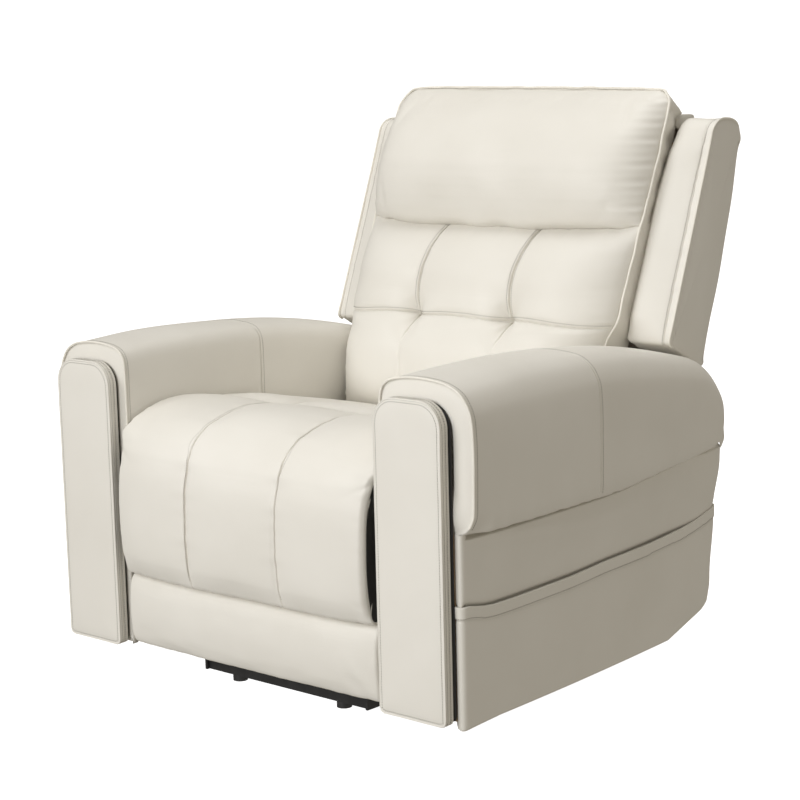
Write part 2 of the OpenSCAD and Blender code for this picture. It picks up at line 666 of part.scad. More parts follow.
front_panel_low = skirt_z + 4;
front_low_r = 20;                   // lower and upper corner radius of a front panel
front_top_r = 42;
module front_panel() color(leather) seated() loft([for (k = [[front_panel_t, 0], [7, 0], [2, 2.5], [0, 8]])
  [for (p = rounded(panel_in + k[1], front_panel_low + k[1], side_out - front_panel_edge - k[1],
    front_panel_top - k[1], front_low_r, front_top_r, 6)) [p[0], k[0], p[1]]]]);
module left_arm_frame() arm_frame();
module left_side_panel() side_panel();
module left_pocket_panel() pocket_panel();
module left_arm_pad() arm_pad();
module left_front_panel() front_panel();
module right_arm_frame() mirror([1, 0, 0]) arm_frame();
module right_side_panel() mirror([1, 0, 0]) side_panel();
module right_pocket_panel() mirror([1, 0, 0]) pocket_panel();
module right_arm_pad() mirror([1, 0, 0]) arm_pad();
module right_front_panel() mirror([1, 0, 0]) front_panel();

// board that joins the two arms low at the rear
stretcher_t = 18;
stretcher_z = skirt_z + 110;
stretcher_h = 120;
module rear_stretcher() color(wood) seated()
  block([-board_in, arm_board_rear - stretcher_t, stretcher_z],
    [board_in, arm_board_rear, stretcher_z + stretcher_h]);

// ---------- seat ----------
// side view of the chaise: nose, roll, crease, rear cushion; the underside follows the deck
chaise_top = [[26, 404], [8, 406], [-3, 416], [-1, 428], [6, 439], [21, 454], [45, 468], [90, 482],
  [133, 488], [171, 486.5], [205, 481], [229, 472], [250, 473], [301, 467], [368, 453],
  [459, 435], [536, 418], [570, 408], [583, 394]];
chaise_low = [[583, deck(583) + 4], [500, deck(500) + touch], [300, deck(300) + touch], [97, deck_z + 3]];
seat_xs = both_ways([0, 60, 90, 101, 107, 113, 125, 170, 220, 262, 281, 291, 295]);
function chaise_ring(x) = let (top = curve(chaise_top, 2), ps = concat(top, chaise_low), k = seat_w / 590,
    sx = x * k, side = edge_drop(seat_w / 2 - abs(sx), 15))
  [for (p = shrink(ps, [for (i = [0:len(ps) - 1]) side
      + (i < len(top) && ps[i][1] > 410 && ps[i][0] < 229 ? 4 * dent(abs(sx) - seat_channel_x, 8) : 0)]))
    [sx, p[0], p[1]]];
module seat_cushion() color(leather) seated() loft([for (x = seat_xs) chaise_ring(x)]);

// ---------- back ----------
function piped_y(z) = seam_y + back_lean * (z - seam_z);
function back_half(z) = back_half_w
  + lookup(z, [[416, -40], [522, -24.5], [568, -24.5], [605, -11], [770, -5], [856, 0]]);

module back_pivot_tube() color(steel) seated() {
  tube_x(hinge_y, hinge_z, back_tube_r, -back_plate_x - plate_t, back_plate_x + plate_t);
  for (s = [-1, 1]) across(back_motor_x + s * (lever_in + plate_t / 2) - plate_t / 2, plate_t)
    bar_shape([hinge_y, hinge_z], [back_pin_y, back_pin_z], 24);
  tube_x(back_pin_y, back_pin_z, lever_pin_r, back_motor_x - lever_in - plate_t,
    back_motor_x + lever_in + plate_t);
}

hinge_plate_top = 520;
module back_hinge_plates() color(steel) seated() both_sides() across(back_plate_x, plate_t) difference() {
  bar_shape([hinge_y, hinge_z], [wing_face(hinge_plate_top) + 19, hinge_plate_top], 34);
  hole(hinge_y, hinge_z, back_tube_r);
}

// the back's frame stands behind the leaning plane of the wings' front edges
upright_t = 28;
upright_w = 25;
upright_low = 430;
upright_top = 944;
rail_t = 18;
module leaning(z0, z1, front, t) polygon([[wing_face(z0) + front, z0], [wing_face(z1) + front, z1],
  [wing_face(z1) + front + t, z1], [wing_face(z0) + front + t, z0]]);
module back_uprights() color(steel) seated() both_sides() across(back_plate_x + plate_t, upright_w)
  leaning(upright_low, upright_top, 0, upright_t);

module back_cross_rails() color(wood) seated() {
  inner = back_plate_x + plate_t;
  for (k = [[450, back_plate_x], [660, inner]]) across(-k[1], 2 * k[1]) leaning(k[0], k[0] + 45, 6, rail_t);
  // rails behind the uprights that carry the wings, and the top rail that carries the rear skin
  half = wing_in - touch;
  for (z = [600, 860]) across(-half, 2 * half) leaning(z, z + 50, upright_t, rail_t);
  top_z = upright_top + 14;
  across(-half, 2 * half) polygon([[wing_face(upright_top), upright_top], [skin_front(upright_top), upright_top],
    [skin_front(top_z), top_z], [wing_face(top_z), top_z]]);
}

module back_springs() color(zinc) seated() {
  inner = back_plate_x + plate_t;
  for (i = [0:back_springs_n - 1]) let (z = mix(562, 800, i / (back_springs_n - 1)))
    translate([-inner, wing_face(z) + wire_t + 1, z]) rotate([90 - atan(wing_lean), 0, 0])
      linear_extrude(wire_t) zigzag(2 * inner, 8, 20, wire_t);
}

// rear outline of the back and its upholstered skin, which the wings follow
rear_low_z = 450;
rear_low = wing_face(rear_low_z) + wing_depth;
rear_pts = concat([[rear_low, rear_low_z]], [for (z = depth_zs) [wing_face(z) + back_depth(z), z]]);
rear_skin = 12;
// front face of that skin, less a touch, at a height near its top
function skin_front(z) = min(rear_reach, wing_face(z) + back_depth(z)) - rear_skin - 2 - touch;
rear_half = pad_in - 1.5;
module back_rear_panel() color(leather) seated() across(-rear_half, 2 * rear_half)
  polygon(concat(rear_pts, [[rear_reach - 6, 950], [rear_reach - rear_skin - 2, 950]],
    [for (i = [len(rear_pts) - 1:-1:0]) rear_pts[i] - [rear_skin, 0]]));

// lower back cushion: a padded slab with two sewn channels and a tufted cross seam
back_us = both_ways([0, 0.15, 0.27, 0.33, 0.362, 0.395, 0.46, 0.62, 0.78, 0.9, 0.96, 1]);
back_zs = [back_low_z, 430, 445, 475, 510, 545, 572, 586, tuft_z, 608, 622, 650, 685, 720, 748, 764,
  seam_z - 1];
function back_swell(x, u, z) = let (rim = pow(max(0, 1 - pow(abs(u), 5)), 0.7),
    foot = ease((z - back_low_z + 4) / 50), head = 0.55 + 0.45 * ease((seam_z - z) / 60))
  rim * foot * head * (62 - 9 * dent(abs(x) - back_channel_x, 14) - 12 * dent(z - tuft_z, 15)
    - 10 * dent(norm([abs(x) - back_channel_x, z - tuft_z]), 28));
function back_ring(u) = concat(
  [for (z = back_zs) let (x = u * back_half(z)) [x, piped_y(z) - back_swell(x, u, z), z]],
  [for (z = [seam_z - 1, 700, 605, 568, 500, back_low_z]) [u * back_half(z), wing_face(z) - touch, z]]);
module back_cushion() color(leather) seated() loft([for (u = back_us) back_ring(u)]);

// headrest pillow: full roll over the seam, rounded upper corners
pillow_side = [[wing_face(seam_z) - seam_y - touch, 0], [-18, 0], [-44, 0.05], [-62, 0.16], [-72, 0.32],
  [-74, 0.5], [-66, 0.7], [-48, 0.86], [-22, 0.96], [8, 1], [30, 0.985], [41, 0.93]];
pillow_us = both_ways([0, 0.25, 0.5, 0.7, 0.8, 0.87, 0.92, 0.96, 0.985, 1]);
pillow_corner = 65;
function pillow_ring(u) = let (x = u * back_half_w,
    top = back_top_z - edge_drop(back_half_w - abs(x), pillow_corner),
    rim = pow(max(0, 1 - pow(abs(u), 7)), 0.6))
  [for (p = curve(pillow_side, 2)) let (z = mix(seam_z + touch, top, p[1]))
    [u * back_half(z), min(piped_y(z) + (p[0] < 0 ? p[0] * rim : p[0]), wing_face(z) - touch), z]];
module headrest_pillow() color(leather) seated() loft([for (u = pillow_us) pillow_ring(u)]);

// wing seen from the side, clockwise from its lower front corner
function wing_shape() = let (zc = wing_top_z - wing_corner, yc = wing_face(zc) + wing_corner * 1.05) concat(
  [[wing_face(wing_low_z), wing_low_z], [wing_face(680), 680], [wing_face(800), 800], [wing_face(860), 860]],
  [for (a = [165:-15:90]) [yc + wing_corner * cos(a), zc + wing_corner * sin(a)]],
  [[rear_reach - 14, wing_top_z], [rear_reach - 3, wing_top_z - 5], [rear_reach, wing_top_z - 13]],
    [for (i = [3:-1:0]) let (z = depth_zs[i]) [wing_face(z) + back_depth(z), z]],
    [[wing_face(514) + wing_depth - 8, 511]]);
function wing_inner(z) = wing_in + (z > 800 ? 22 * pow((z - 800) / 151, 1.5) : 0);
module wing() color(leather) seated()
  loft([for (k = [[0, 2.5], [0.03, 0], [0.3, 0], [0.7, 0], [0.92, 0], [0.975, 2], [1, 7]])
    let (ps = wing_shape()) [for (p = shrink(ps, [for (q = ps) k[1]]))
      [mix(wing_inner(p[1]), wing_out, k[0]), p[0], p[1]]]]);
module left_wing() wing();
module right_wing() mirror([1, 0, 0]) wing();

// ---------- footrest ----------
function foot_half(z) = foot_pad_w / 2
  - lookup(z, [[63, 20], [80, 14], [187, 9], [230, 3], [300, 0], [345, 2], [400, 7]]);
foot_front = [[14, foot_seam_z + 1], [4, 203], [-6, 235], [-17, 270], [-front_reach + 1, 304], [-20.5, 344],
  [-14, 378], [-7, 394], [4, foot_top_z]];
foot_us = both_ways([0, 0.2, 0.31, 0.345, 0.365, 0.385, 0.42, 0.6, 0.8, 0.92, 0.97, 1]);
function foot_ring(u, front, rear) = let (ps = concat(front, rear))
  [for (p = shrink(ps, [for (i = [0:len(ps) - 1]) edge_drop((1 - abs(u)) * foot_pad_w / 2, 14)
      + (i < len(front) ? 4 * dent(abs(u) * foot_pad_w / 2 - seat_channel_x, 7) : 0)]))
    [u * foot_half(p[1]), p[0], p[1]]];
foot_rear = [[foot_pad_y, foot_top_z], [foot_pad_y, foot_seam_z + 1]];
module footrest_pad() color(leather) seated()
  loft([for (u = foot_us) foot_ring(u, curve(foot_front, 3), foot_rear)]);

lower_front = [[30, foot_low_z], [15, foot_low_z + 1], [7, 70], [3, 88], [1, 122], [2, 158], [6, 178],
  [14, foot_seam_z - 1]];
lower_us = both_ways([0, 0.4, 0.7, 0.88, 0.96, 1]);
module footrest_lower_pad() color(leather) seated() loft([for (u = lower_us)
  let (ps = concat(lower_front, [[foot_pad_y, foot_seam_z - 1], [foot_pad_y, foot_low_z + 3]]))
    [for (p = shrink(ps, [for (q = ps) edge_drop((1 - abs(u)) * foot_pad_w / 2, 10)]))
      [u * foot_half(p[1]), p[0], p[1]]]]);

foot_board_y = foot_pad_y + touch;
module footrest_board() color(wood) seated()
  block([-255, foot_board_y, 75], [255, foot_board_y + foot_board_t, foot_top_z - 12]);

toe_eye = 22;                       // width of a support link
toe_low = toe_z - 40;
toe_high = toe_z + 30;
module footrest_brackets() color(steel) seated() both_sides() {
  rear = foot_board_y + foot_board_t;
  across(toe_plate_x, plate_t) polygon([[rear, toe_low], [toe_y + 6, toe_z - 12],
    [toe_y + 12, toe_z], [toe_y + 6, toe_z + 12], [rear, toe_high]]);
  block([toe_plate_x + plate_t, rear, toe_low], [toe_plate_x + plate_t + 20, rear + 4, toe_high]);
  tube_x(toe_y, toe_z, pin_r, toe_link_x - 2, toe_plate_x + plate_t);
}

module footrest_torque_tube() color(steel) seated() {
  tube_x(drive_y, drive_z, torque_r, -seat_link_x - link_t, seat_link_x + link_t);
  for (s = [-1, 1]) across(foot_motor_x + s * (lever_in + plate_t / 2) - plate_t / 2, plate_t)
    bar_shape([drive_y, drive_z], [foot_pin_y, foot_pin_z], 20);
  tube_x(foot_pin_y, foot_pin_z, lever_pin_r, foot_motor_x - lever_in - plate_t,
    foot_motor_x + lever_in + plate_t);
}

module footrest_drive_links() color(steel) seated() both_sides() {
  across(seat_link_x, link_t) difference() {
    bar_shape([drive_y, drive_z], [elbow_y, elbow_z], 30);
    hole(drive_y, drive_z, torque_r);
  }
  tube_x(elbow_y, elbow_z, pin_r, seat_link_x, toe_link_x + link_t + 0.4);
}

module footrest_support_links() color(steel) seated() both_sides() across(toe_link_x, link_t) difference() {
  bar_shape([toe_y, toe_z], [elbow_y, elbow_z], toe_eye);
  hole(toe_y, toe_z, pin_r + pin_gap);
  hole(elbow_y, elbow_z, pin_r + 0.5);
}

// ---------- handset ----------
handset_in = -side_out - pouch_t - pouch_gap;
module handset_pouch() color(leather) seated() {
  y0 = handset_y - handset_w / 2 - pouch_gap;
  y1 = handset_y + handset_w / 2 + pouch_gap;
  x0 = handset_in - handset_t - pouch_gap;
  z0 = handset_z - pouch_gap;
  block([x0 - pouch_t, y0 - pouch_t, z0 - pouch_t], [x0, y1 + pouch_t, z0 + pouch_h]);
  block([-side_out - pouch_t, y0 - pouch_t, z0 - pouch_t], [-side_out, y1 + pouch_t, z0 + pouch_h]);
  block([x0, y0 - pouch_t, z0 - pouch_t], [-side_out - pouch_t, y0, z0 + pouch_h]);
  block([x0, y1, z0 - pouch_t], [-side_out - pouch_t, y1 + pouch_t, z0 + pouch_h]);
  block([x0, y0, z0 - pouch_t], [-side_out - pouch_t, y1, z0]);
}
button_travel = 1.5;
button_deep = 4;
button_play = 0.2;
button_rows = [handset_z + handset_l - 50, handset_z + handset_l - 22];
module handset() color(plastic) seated() difference() {
  translate([handset_in, handset_y, handset_z + handset_l / 2]) rotate([0, -90, 0]) linear_extrude(handset_t)
    handset_face();
  for (s = [-1, 1]) for (z = button_rows) button_at(s, z)
    cylinder(r = button_r + button_play, h = button_deep + 1, $fn = round_n);
}
module handset_face() {
  r = 10;
  square([handset_l, handset_w - 2 * r], center = true);
  square([handset_l - 2 * r, handset_w], center = true);
  for (a = [-1, 1]) for (b = [-1, 1]) translate([a * (handset_l / 2 - r), b * (handset_w / 2 - r)])
    circle(r = r, $fn = round_n);
}
// a button's well floor; its cap points away from the chair
module button_at(s, z) translate([handset_in - handset_t + button_deep, handset_y + s * 11, z])
  rotate([0, -90, 0]) children();
module button(s, row) color(zinc) seated() button_at(s, button_rows[row])
  translate([0, 0, button_travel + touch])
    cylinder(r = button_r, h = button_deep, $fn = round_n);
module lift_up_button() button(-1, 1);
module lift_down_button() button(1, 1);
module recline_button() button(-1, 0);
module return_button() button(1, 0);

base_cross_tubes();
base_side_rails();
base_feet();
base_pivot_plates();
base_pivot_pins();
lift_motor_mount();
power_supply();
power_inlet();
lift_arms();
lift_torque_tube();
front_links();
lift_motor();
lift_push_rod();
seat_side_plates();
seat_cross_tubes();
seat_pivot_pins();
seat_brackets();
seat_side_rails();
seat_end_boards();
seat_springs();
seat_cushion();
control_box();
footrest_motor();
footrest_push_rod();
back_motor();
back_push_rod();
left_arm_frame();
left_side_panel();
left_pocket_panel();
left_arm_pad();
left_front_panel();
right_arm_frame();
right_side_panel();
right_pocket_panel();
right_arm_pad();
right_front_panel();
rear_stretcher();
back_pivot_tube();
back_hinge_plates();
back_uprights();
back_cross_rails();
back_springs();
back_cushion();
headrest_pillow();
left_wing();
right_wing();
back_rear_panel();
footrest_board();
footrest_pad();
footrest_lower_pad();
footrest_brackets();
footrest_torque_tube();
footrest_drive_links();
footrest_support_links();
handset_pouch();
handset();
lift_up_button();
lift_down_button();
recline_button();
return_button();
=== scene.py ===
import json
import math

import bmesh
import bpy
import numpy as np
from mathutils import Matrix, Vector


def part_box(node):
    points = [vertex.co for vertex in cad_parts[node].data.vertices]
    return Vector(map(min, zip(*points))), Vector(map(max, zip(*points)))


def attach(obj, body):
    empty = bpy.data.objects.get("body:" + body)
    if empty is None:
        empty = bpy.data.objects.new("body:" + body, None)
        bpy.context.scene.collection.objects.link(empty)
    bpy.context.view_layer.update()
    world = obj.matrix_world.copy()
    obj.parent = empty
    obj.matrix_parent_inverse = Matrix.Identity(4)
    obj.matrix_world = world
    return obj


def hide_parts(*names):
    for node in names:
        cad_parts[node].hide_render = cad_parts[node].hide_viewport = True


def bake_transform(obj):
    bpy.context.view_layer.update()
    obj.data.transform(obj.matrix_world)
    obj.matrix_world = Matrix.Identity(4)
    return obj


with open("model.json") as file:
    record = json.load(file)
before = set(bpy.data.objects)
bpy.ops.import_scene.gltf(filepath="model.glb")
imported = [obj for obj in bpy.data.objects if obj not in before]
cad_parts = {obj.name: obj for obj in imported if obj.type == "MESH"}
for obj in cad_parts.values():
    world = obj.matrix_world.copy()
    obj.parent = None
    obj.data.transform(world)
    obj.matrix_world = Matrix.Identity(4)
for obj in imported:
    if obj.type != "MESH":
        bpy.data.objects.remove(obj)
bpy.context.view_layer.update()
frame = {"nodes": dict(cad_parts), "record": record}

# Lengths in this script are millimetres, with y measured back from the faces of the arm fronts,
# z up from the floor and x from the chair's middle. place() turns them into the frame's metres.
FRONT_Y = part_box("left_front_panel")[0].y
SEAM_Z = 772.0          # seam between the back cushion and the headrest pillow
BACK_TOP = 1012.0       # piped upper edge of the back
BACK_HALF = 321.0       # half the back's width at the pillow
BACK_LOW, BACK_HIGH = 416.0, 771.0      # both ends of the back cushion
TUFT_Z = 597.0          # tufts and cross seam of the back cushion
BACK_CHANNEL = 109.5    # sewn channels of the back, out from the middle
SEAT_CHANNEL = 107.0    # sewn channels of the seat and footrest
SEAT_HALF = 295.0       # half the seat's width between the arms
FOOT_SEAM = 190.0       # seam between the footrest's upper and lower pads
PAD_FRONT, ARM_REAR = 30.0, 795.0       # both ends of an arm's top pad
PAD_LOW, PAD_TOP = 356.0, 600.0         # lower edge and crest of an arm's top pad
PAD_SEAM = 362.0        # cross seam of an arm's top pad
ARM_MIDDLE, PAD_MIDDLE_Z = 392.0, 480.0
SIDE_X = 459.2          # an arm's outer side, just behind its front
HEM_DEEP = 21.5         # depth of the side pocket's folded hem
WING_OUT, WING_TOP_Z = 398.0, 913.5     # outer side of a wing, middle of its rounded top
REAR_HALF, REAR_SEAM = 296.5, 238.0     # the back's rear cover and its upright seams
PIPING, WING_PIPING, ARM_WELT = 2.4, 2.3, 2.0
CORD_SIDES, THREAD_LIFT = 10, 0.25
FILL_FRAMES, SMOOTHING_PASSES = 20, 5


def place(points):
    out = np.array(points, float) * 0.001
    out[..., 1] += FRONT_Y
    return out


# ---------- curves and surfaces ----------
def ease(t):
    t = np.clip(t, 0.0, 1.0)
    return t * t * (3.0 - 2.0 * t)


def bell(distance, width):
    return np.exp(-(np.asarray(distance, float) / width) ** 2)


def along_keys(x, keys):
    keys = np.asarray(keys, float)
    return np.interp(x, keys[:, 0], keys[:, 1])


def round_over(distance, radius):
    """How far a rounded edge of this radius falls, at a distance inwards from the edge."""
    d = np.clip(distance, 0.0, radius)
    return radius - np.sqrt(np.maximum(0.0, radius ** 2 - (radius - d) ** 2))


def crowded(low, high, count, marks=(), width=8.0, pull=5.0):
    """Positions from low to high, packed closer together around the marks."""
    fine = np.linspace(low, high, 3001)
    density = np.ones_like(fine)
    for mark in marks:
        density += pull * bell(fine - mark, width)
    run = np.concatenate([[0.0], np.cumsum((density[1:] + density[:-1]) / 2)])
    return np.interp(np.linspace(0.0, run[-1], count), run, fine)


def smooth_line(points, steps=14, closed=False):
    """Catmull-Rom line through given points."""
    p = np.asarray(points, float)
    n = len(p)
    t = np.linspace(0.0, 1.0, steps, endpoint=False)[:, None]
    out = []
    for i in range(n if closed else n - 1):
        a, b, c, d = [p[k % n] if closed else p[min(max(k, 0), n - 1)] for k in (i - 1, i, i + 1, i + 2)]
        out.append(0.5 * (2 * b + (c - a) * t + (2 * a - 5 * b + 4 * c - d) * t ** 2
                          + (3 * b - a - 3 * c + d) * t ** 3))
    return np.concatenate(out + [p[:1] if closed else p[-1:]])


def lengths(line):
    return np.concatenate([[0.0], np.cumsum(np.linalg.norm(np.diff(line, axis=0), axis=1))])


def at_lengths(line, positions):
    run = lengths(line)
    return np.stack([np.interp(positions, run, line[:, k]) for k in range(line.shape[1])], axis=1)


def even(line, count):
    return at_lengths(line, np.linspace(0.0, lengths(line)[-1], count))


def inwards(outline, closed=True):
    """Unit directions in the plane that lie across a line, to its right as it runs."""
    ahead = (np.roll(outline, -1, 0) - np.roll(outline, 1, 0)) if closed else np.gradient(outline, axis=0)
    ahead = ahead / np.maximum(np.linalg.norm(ahead, axis=1, keepdims=True), 1e-9)
    return np.stack([ahead[:, 1], -ahead[:, 0]], axis=1)


def waves(a, b, seed, count=6, short=35.0, long=120.0):
    """Low, uneven ripples over a surface with coordinates a and b, from -1 to 1."""
    rng = np.random.default_rng(seed)
    total = np.zeros(np.broadcast(a, b).shape)
    for _ in range(count):
        turn, phase = rng.uniform(0, 2 * math.pi, 2)
        length = rng.uniform(short, long)
        total += np.sin(2 * math.pi * (a * math.cos(turn) + b * math.sin(turn)) / length + phase)
    return total / math.sqrt(count) / 1.6


def gathers(along, away, seed, pitch=22.0, reach=26.0):
    """Small folds that run out of a seam and fade with distance from it."""
    rng = np.random.default_rng(seed)
    total = np.zeros(np.broadcast(along, away).shape)
    for scale in (1.0, 0.62, 1.7):
        phase, drift = rng.uniform(0, 2 * math.pi, 2)
        total += np.sin(2 * math.pi * along / (pitch * scale) + phase + 0.9 * np.sin(along / 61.0 + drift))
    return total / 2.2 * np.exp(-np.abs(away) / reach)


def grid_normals(grid):
    """Outward directions of a skin whose rows are closed rings."""
    along = np.gradient(grid, axis=0)
    around = np.roll(grid, -1, 1) - np.roll(grid, 1, 1)
    n = np.cross(around, along)
    n /= np.maximum(np.linalg.norm(n, axis=2, keepdims=True), 1e-9)
    if (n * (grid - grid.reshape(-1, 3).mean(0))).sum() < 0:
        n = -n
    return n


def raised(grid, height):
    return grid + grid_normals(grid) * height[..., None]


def grid_faces(rows, columns):
    r, c = np.meshgrid(np.arange(rows - 1), np.arange(columns), indexing="ij")
    nxt = (c + 1) % columns
    return np.stack([r * columns + c, r * columns + nxt, (r + 1) * columns + nxt, (r + 1) * columns + c],
                    axis=-1).reshape(-1, 4).tolist()


def linked(name, data):
    """New object in the scene."""
    ob = bpy.data.objects.new(name, data)
    bpy.context.scene.collection.objects.link(ob)
    return ob


def skin(name, grid, finish):
    """Closed skin over a row of rings with equal numbers of points."""
    rows, columns = grid.shape[:2]
    faces = grid_faces(rows, columns)
    faces += [list(range(columns)), [(rows - 1) * columns + k for k in range(columns)]]
    mesh = bpy.data.meshes.new(name)
    mesh.from_pydata(place(grid.reshape(-1, 3)).tolist(), [], faces)
    bm = bmesh.new()
    bm.from_mesh(mesh)
    bmesh.ops.remove_doubles(bm, verts=bm.verts, dist=1e-6)
    bmesh.ops.recalc_face_normals(bm, faces=bm.faces)
    bm.to_mesh(mesh)
    bm.free()
    mesh.materials.append(finish)
    mesh.shade_smooth()
    return linked(name, mesh)


def tube(name, line, radius, finish):
    """Round cord sewn along a line, its ends closed and drawn in."""
    p = np.asarray(line, float)
    ahead = np.gradient(p, axis=0)
    ahead /= np.linalg.norm(ahead, axis=1, keepdims=True)
    side = np.zeros_like(p)
    guide = np.cross(ahead[0], [0.31, 0.22, 0.92])
    for i in range(len(p)):
        guide = guide - ahead[i] * (guide @ ahead[i])
        guide = guide / np.linalg.norm(guide)
        side[i] = guide
    up = np.cross(ahead, side)
    turn = np.linspace(0, 2 * math.pi, CORD_SIDES, endpoint=False)
    r = np.full(len(p), float(radius))
    r[0] = r[-1] = radius * 0.55
    rings = (p[:, None] + side[:, None] * np.cos(turn)[None, :, None] * r[:, None, None]
             + up[:, None] * np.sin(turn)[None, :, None] * r[:, None, None])
    return skin(name, rings, finish)


def mirrored(grid):
    return grid * np.array([-1.0, 1.0, 1.0])


def sided(side):
    """Name and placing of a piece that both sides have: 1 is the near side, at positive x."""
    return ("left", lambda grid: grid) if side > 0 else ("right", mirrored)


def belongs(piece, body, stands_for=()):
    if body:
        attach(piece, body)
    if stands_for:
        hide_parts(*stands_for)
    return piece


# ---------- stuffing ----------
def stuffed(grid, held, cap, rows=64, columns=96):
    """Fills a cushion's skin with pressure in a cloth run and gives back how far its points move.
    held says, from 0 to 1, how firmly each point is sewn down; cap is the furthest a point moves.
    Seams are pressed in afterwards."""
    n, m = grid.shape[:2]
    ri = np.unique(np.linspace(0, n - 1, min(rows, n)).round().astype(int))
    ci = np.unique(np.linspace(0, m - 1, min(columns, m)).round().astype(int))
    coarse = grid[np.ix_(ri, ci)]
    points = coarse.reshape(-1, 3)
    cols = len(ci)
    faces = grid_faces(len(ri), cols)
    mesh = bpy.data.meshes.new("stuffing")
    mesh.from_pydata(place(points).tolist(), [], faces)
    ob = linked("stuffing", mesh)
    if (np.array([v.normal[:] for v in mesh.vertices]) * grid_normals(coarse).reshape(-1, 3)).sum() < 0:
        mesh.flip_normals()
    sewn = ob.vertex_groups.new(name="sewn")
    weights = np.asarray(held, float)[np.ix_(ri, ci)].reshape(-1)
    for i, w in enumerate(weights):
        if w > 0.01:
            sewn.add([i], float(min(w, 1.0)), "REPLACE")
    cloth = ob.modifiers.new("filling", "CLOTH")
    s = cloth.settings
    s.quality = 5
    s.mass = 0.3
    s.tension_stiffness = s.compression_stiffness = 15
    s.shear_stiffness = 5
    s.bending_stiffness = 2.0
    s.air_damping = 3.0
    s.vertex_group_mass = "sewn"
    s.pin_stiffness = 1.0
    s.shrink_min = -0.015
    s.use_pressure = True
    s.uniform_pressure_force = 4.0
    s.effector_weights.gravity = 0.0
    cloth.collision_settings.use_collision = False
    cloth.point_cache.frame_start, cloth.point_cache.frame_end = 1, FILL_FRAMES
    scene = bpy.context.scene
    for moment in range(1, FILL_FRAMES + 1):
        scene.frame_set(moment)
    depsgraph = bpy.context.evaluated_depsgraph_get()
    ran = ob.evaluated_get(depsgraph)
    co = np.empty(len(points) * 3)
    ran.data.vertices.foreach_get("co", co)
    move = (co.reshape(-1, 3) - place(points)) * 1000.0
    scene.frame_set(1)
    bpy.data.objects.remove(ob)
    far = np.linalg.norm(move, axis=1, keepdims=True)
    move *= np.where(far > 1e-6, cap * np.tanh(far / cap) / np.maximum(far, 1e-6), 1.0)
    move = move.reshape(len(ri), cols, 3)
    for _ in range(SMOOTHING_PASSES):
        inner = (move[:-2] + 2 * move[1:-1] + move[2:]) / 4
        move = np.concatenate([move[:1], inner, move[-1:]])
        move = (np.roll(move, 1, 1) + 2 * move + np.roll(move, -1, 1)) / 4
    every = np.arange(m)
    across = np.stack([[np.interp(every, ci, row[:, k]) for k in range(3)] for row in move])
    across = np.moveaxis(across, 1, 2)
    full = np.empty_like(grid)
    for k in range(3):
        for c in range(m):
            full[:, c, k] = np.interp(np.arange(n), ri, across[:, c, k])
    return full


# ---------- finishes ----------
def put(tree, kind, x=0, y=0, **inputs):
    node = tree.nodes.new(kind)
    node.location = (x, y)
    for key, value in inputs.items():
        if key in node.inputs:
            node.inputs[key].default_value = value
        else:
            setattr(node, key, value)
    return node


def blank_finish(name):
    finish = bpy.data.materials.new(name)
    finish.use_nodes = True
    tree = finish.node_tree
    shader = tree.nodes["Principled BSDF"]
    where = put(tree, "ShaderNodeTexCoord", -1400, 0).outputs["Object"]
    return finish, tree, shader, where


def noise(tree, where, scale, detail=3.0, x=-1100, y=0):
    node = put(tree, "ShaderNodeTexNoise", x, y, Scale=scale, Detail=detail)
    tree.links.new(where, node.inputs["Vector"])
    return node.outputs["Fac"]


def mapped(tree, fac, low, high, x=-800, y=0):
    node = put(tree, "ShaderNodeMapRange", x, y)
    node.inputs["To Min"].default_value = low
    node.inputs["To Max"].default_value = high
    node.inputs["From Min"].default_value = 0.3
    node.inputs["From Max"].default_value = 0.7
    tree.links.new(fac, node.inputs["Value"])
    return node.outputs["Result"]


def blended(tree, fac, a, b, x=-500, y=200):
    node = put(tree, "ShaderNodeMix", x, y)
    node.data_type = "RGBA"
    tree.links.new(fac, node.inputs["Factor"])
    node.inputs[6].default_value = (*a, 1.0)
    node.inputs[7].default_value = (*b, 1.0)
    return node.outputs[2]


def bumped(tree, height, strength, distance, below=None, x=-300, y=-300):
    node = put(tree, "ShaderNodeBump", x, y, Strength=strength, Distance=distance)
    tree.links.new(height, node.inputs["Height"])
    if below is not None:
        tree.links.new(below, node.inputs["Normal"])
    return node.outputs["Normal"]


def leather_finish(name, light, deep, rough=(0.44, 0.54)):
    """Fine pebble grain, soft waviness, uneven dye and shine: leather, or in other tones thread or cloth; the
    dark thread and the black cloth are painted shade.
    """
    finish, tree, shader, where = blank_finish(name)
    shade = mapped(tree, noise(tree, where, 5.0, 4.0, y=300), 0.0, 1.0, y=300)
    tree.links.new(blended(tree, shade, light, deep), shader.inputs["Base Color"])
    tree.links.new(mapped(tree, noise(tree, where, 38.0, 2.0), *rough), shader.inputs["Roughness"])
    pebble = put(tree, "ShaderNodeTexVoronoi", -1100, -300, Scale=620.0)
    pebble.feature = "SMOOTH_F1"
    tree.links.new(where, pebble.inputs["Vector"])
    grain = bumped(tree, pebble.outputs["Distance"], 0.10, 0.0004, x=-700)
    creases = bumped(tree, noise(tree, where, 150.0, 3.0, y=-500), 0.09, 0.0008, grain, x=-500)
    soft = bumped(tree, noise(tree, where, 22.0, 2.0, y=-700), 0.10, 0.004, creases, x=-300)
    tree.links.new(soft, shader.inputs["Normal"])
    shader.inputs["Sheen Weight"].default_value = 0.08
    shader.inputs["Sheen Roughness"].default_value = 0.4
    shader.inputs["Specular IOR Level"].default_value = 0.42
    return finish


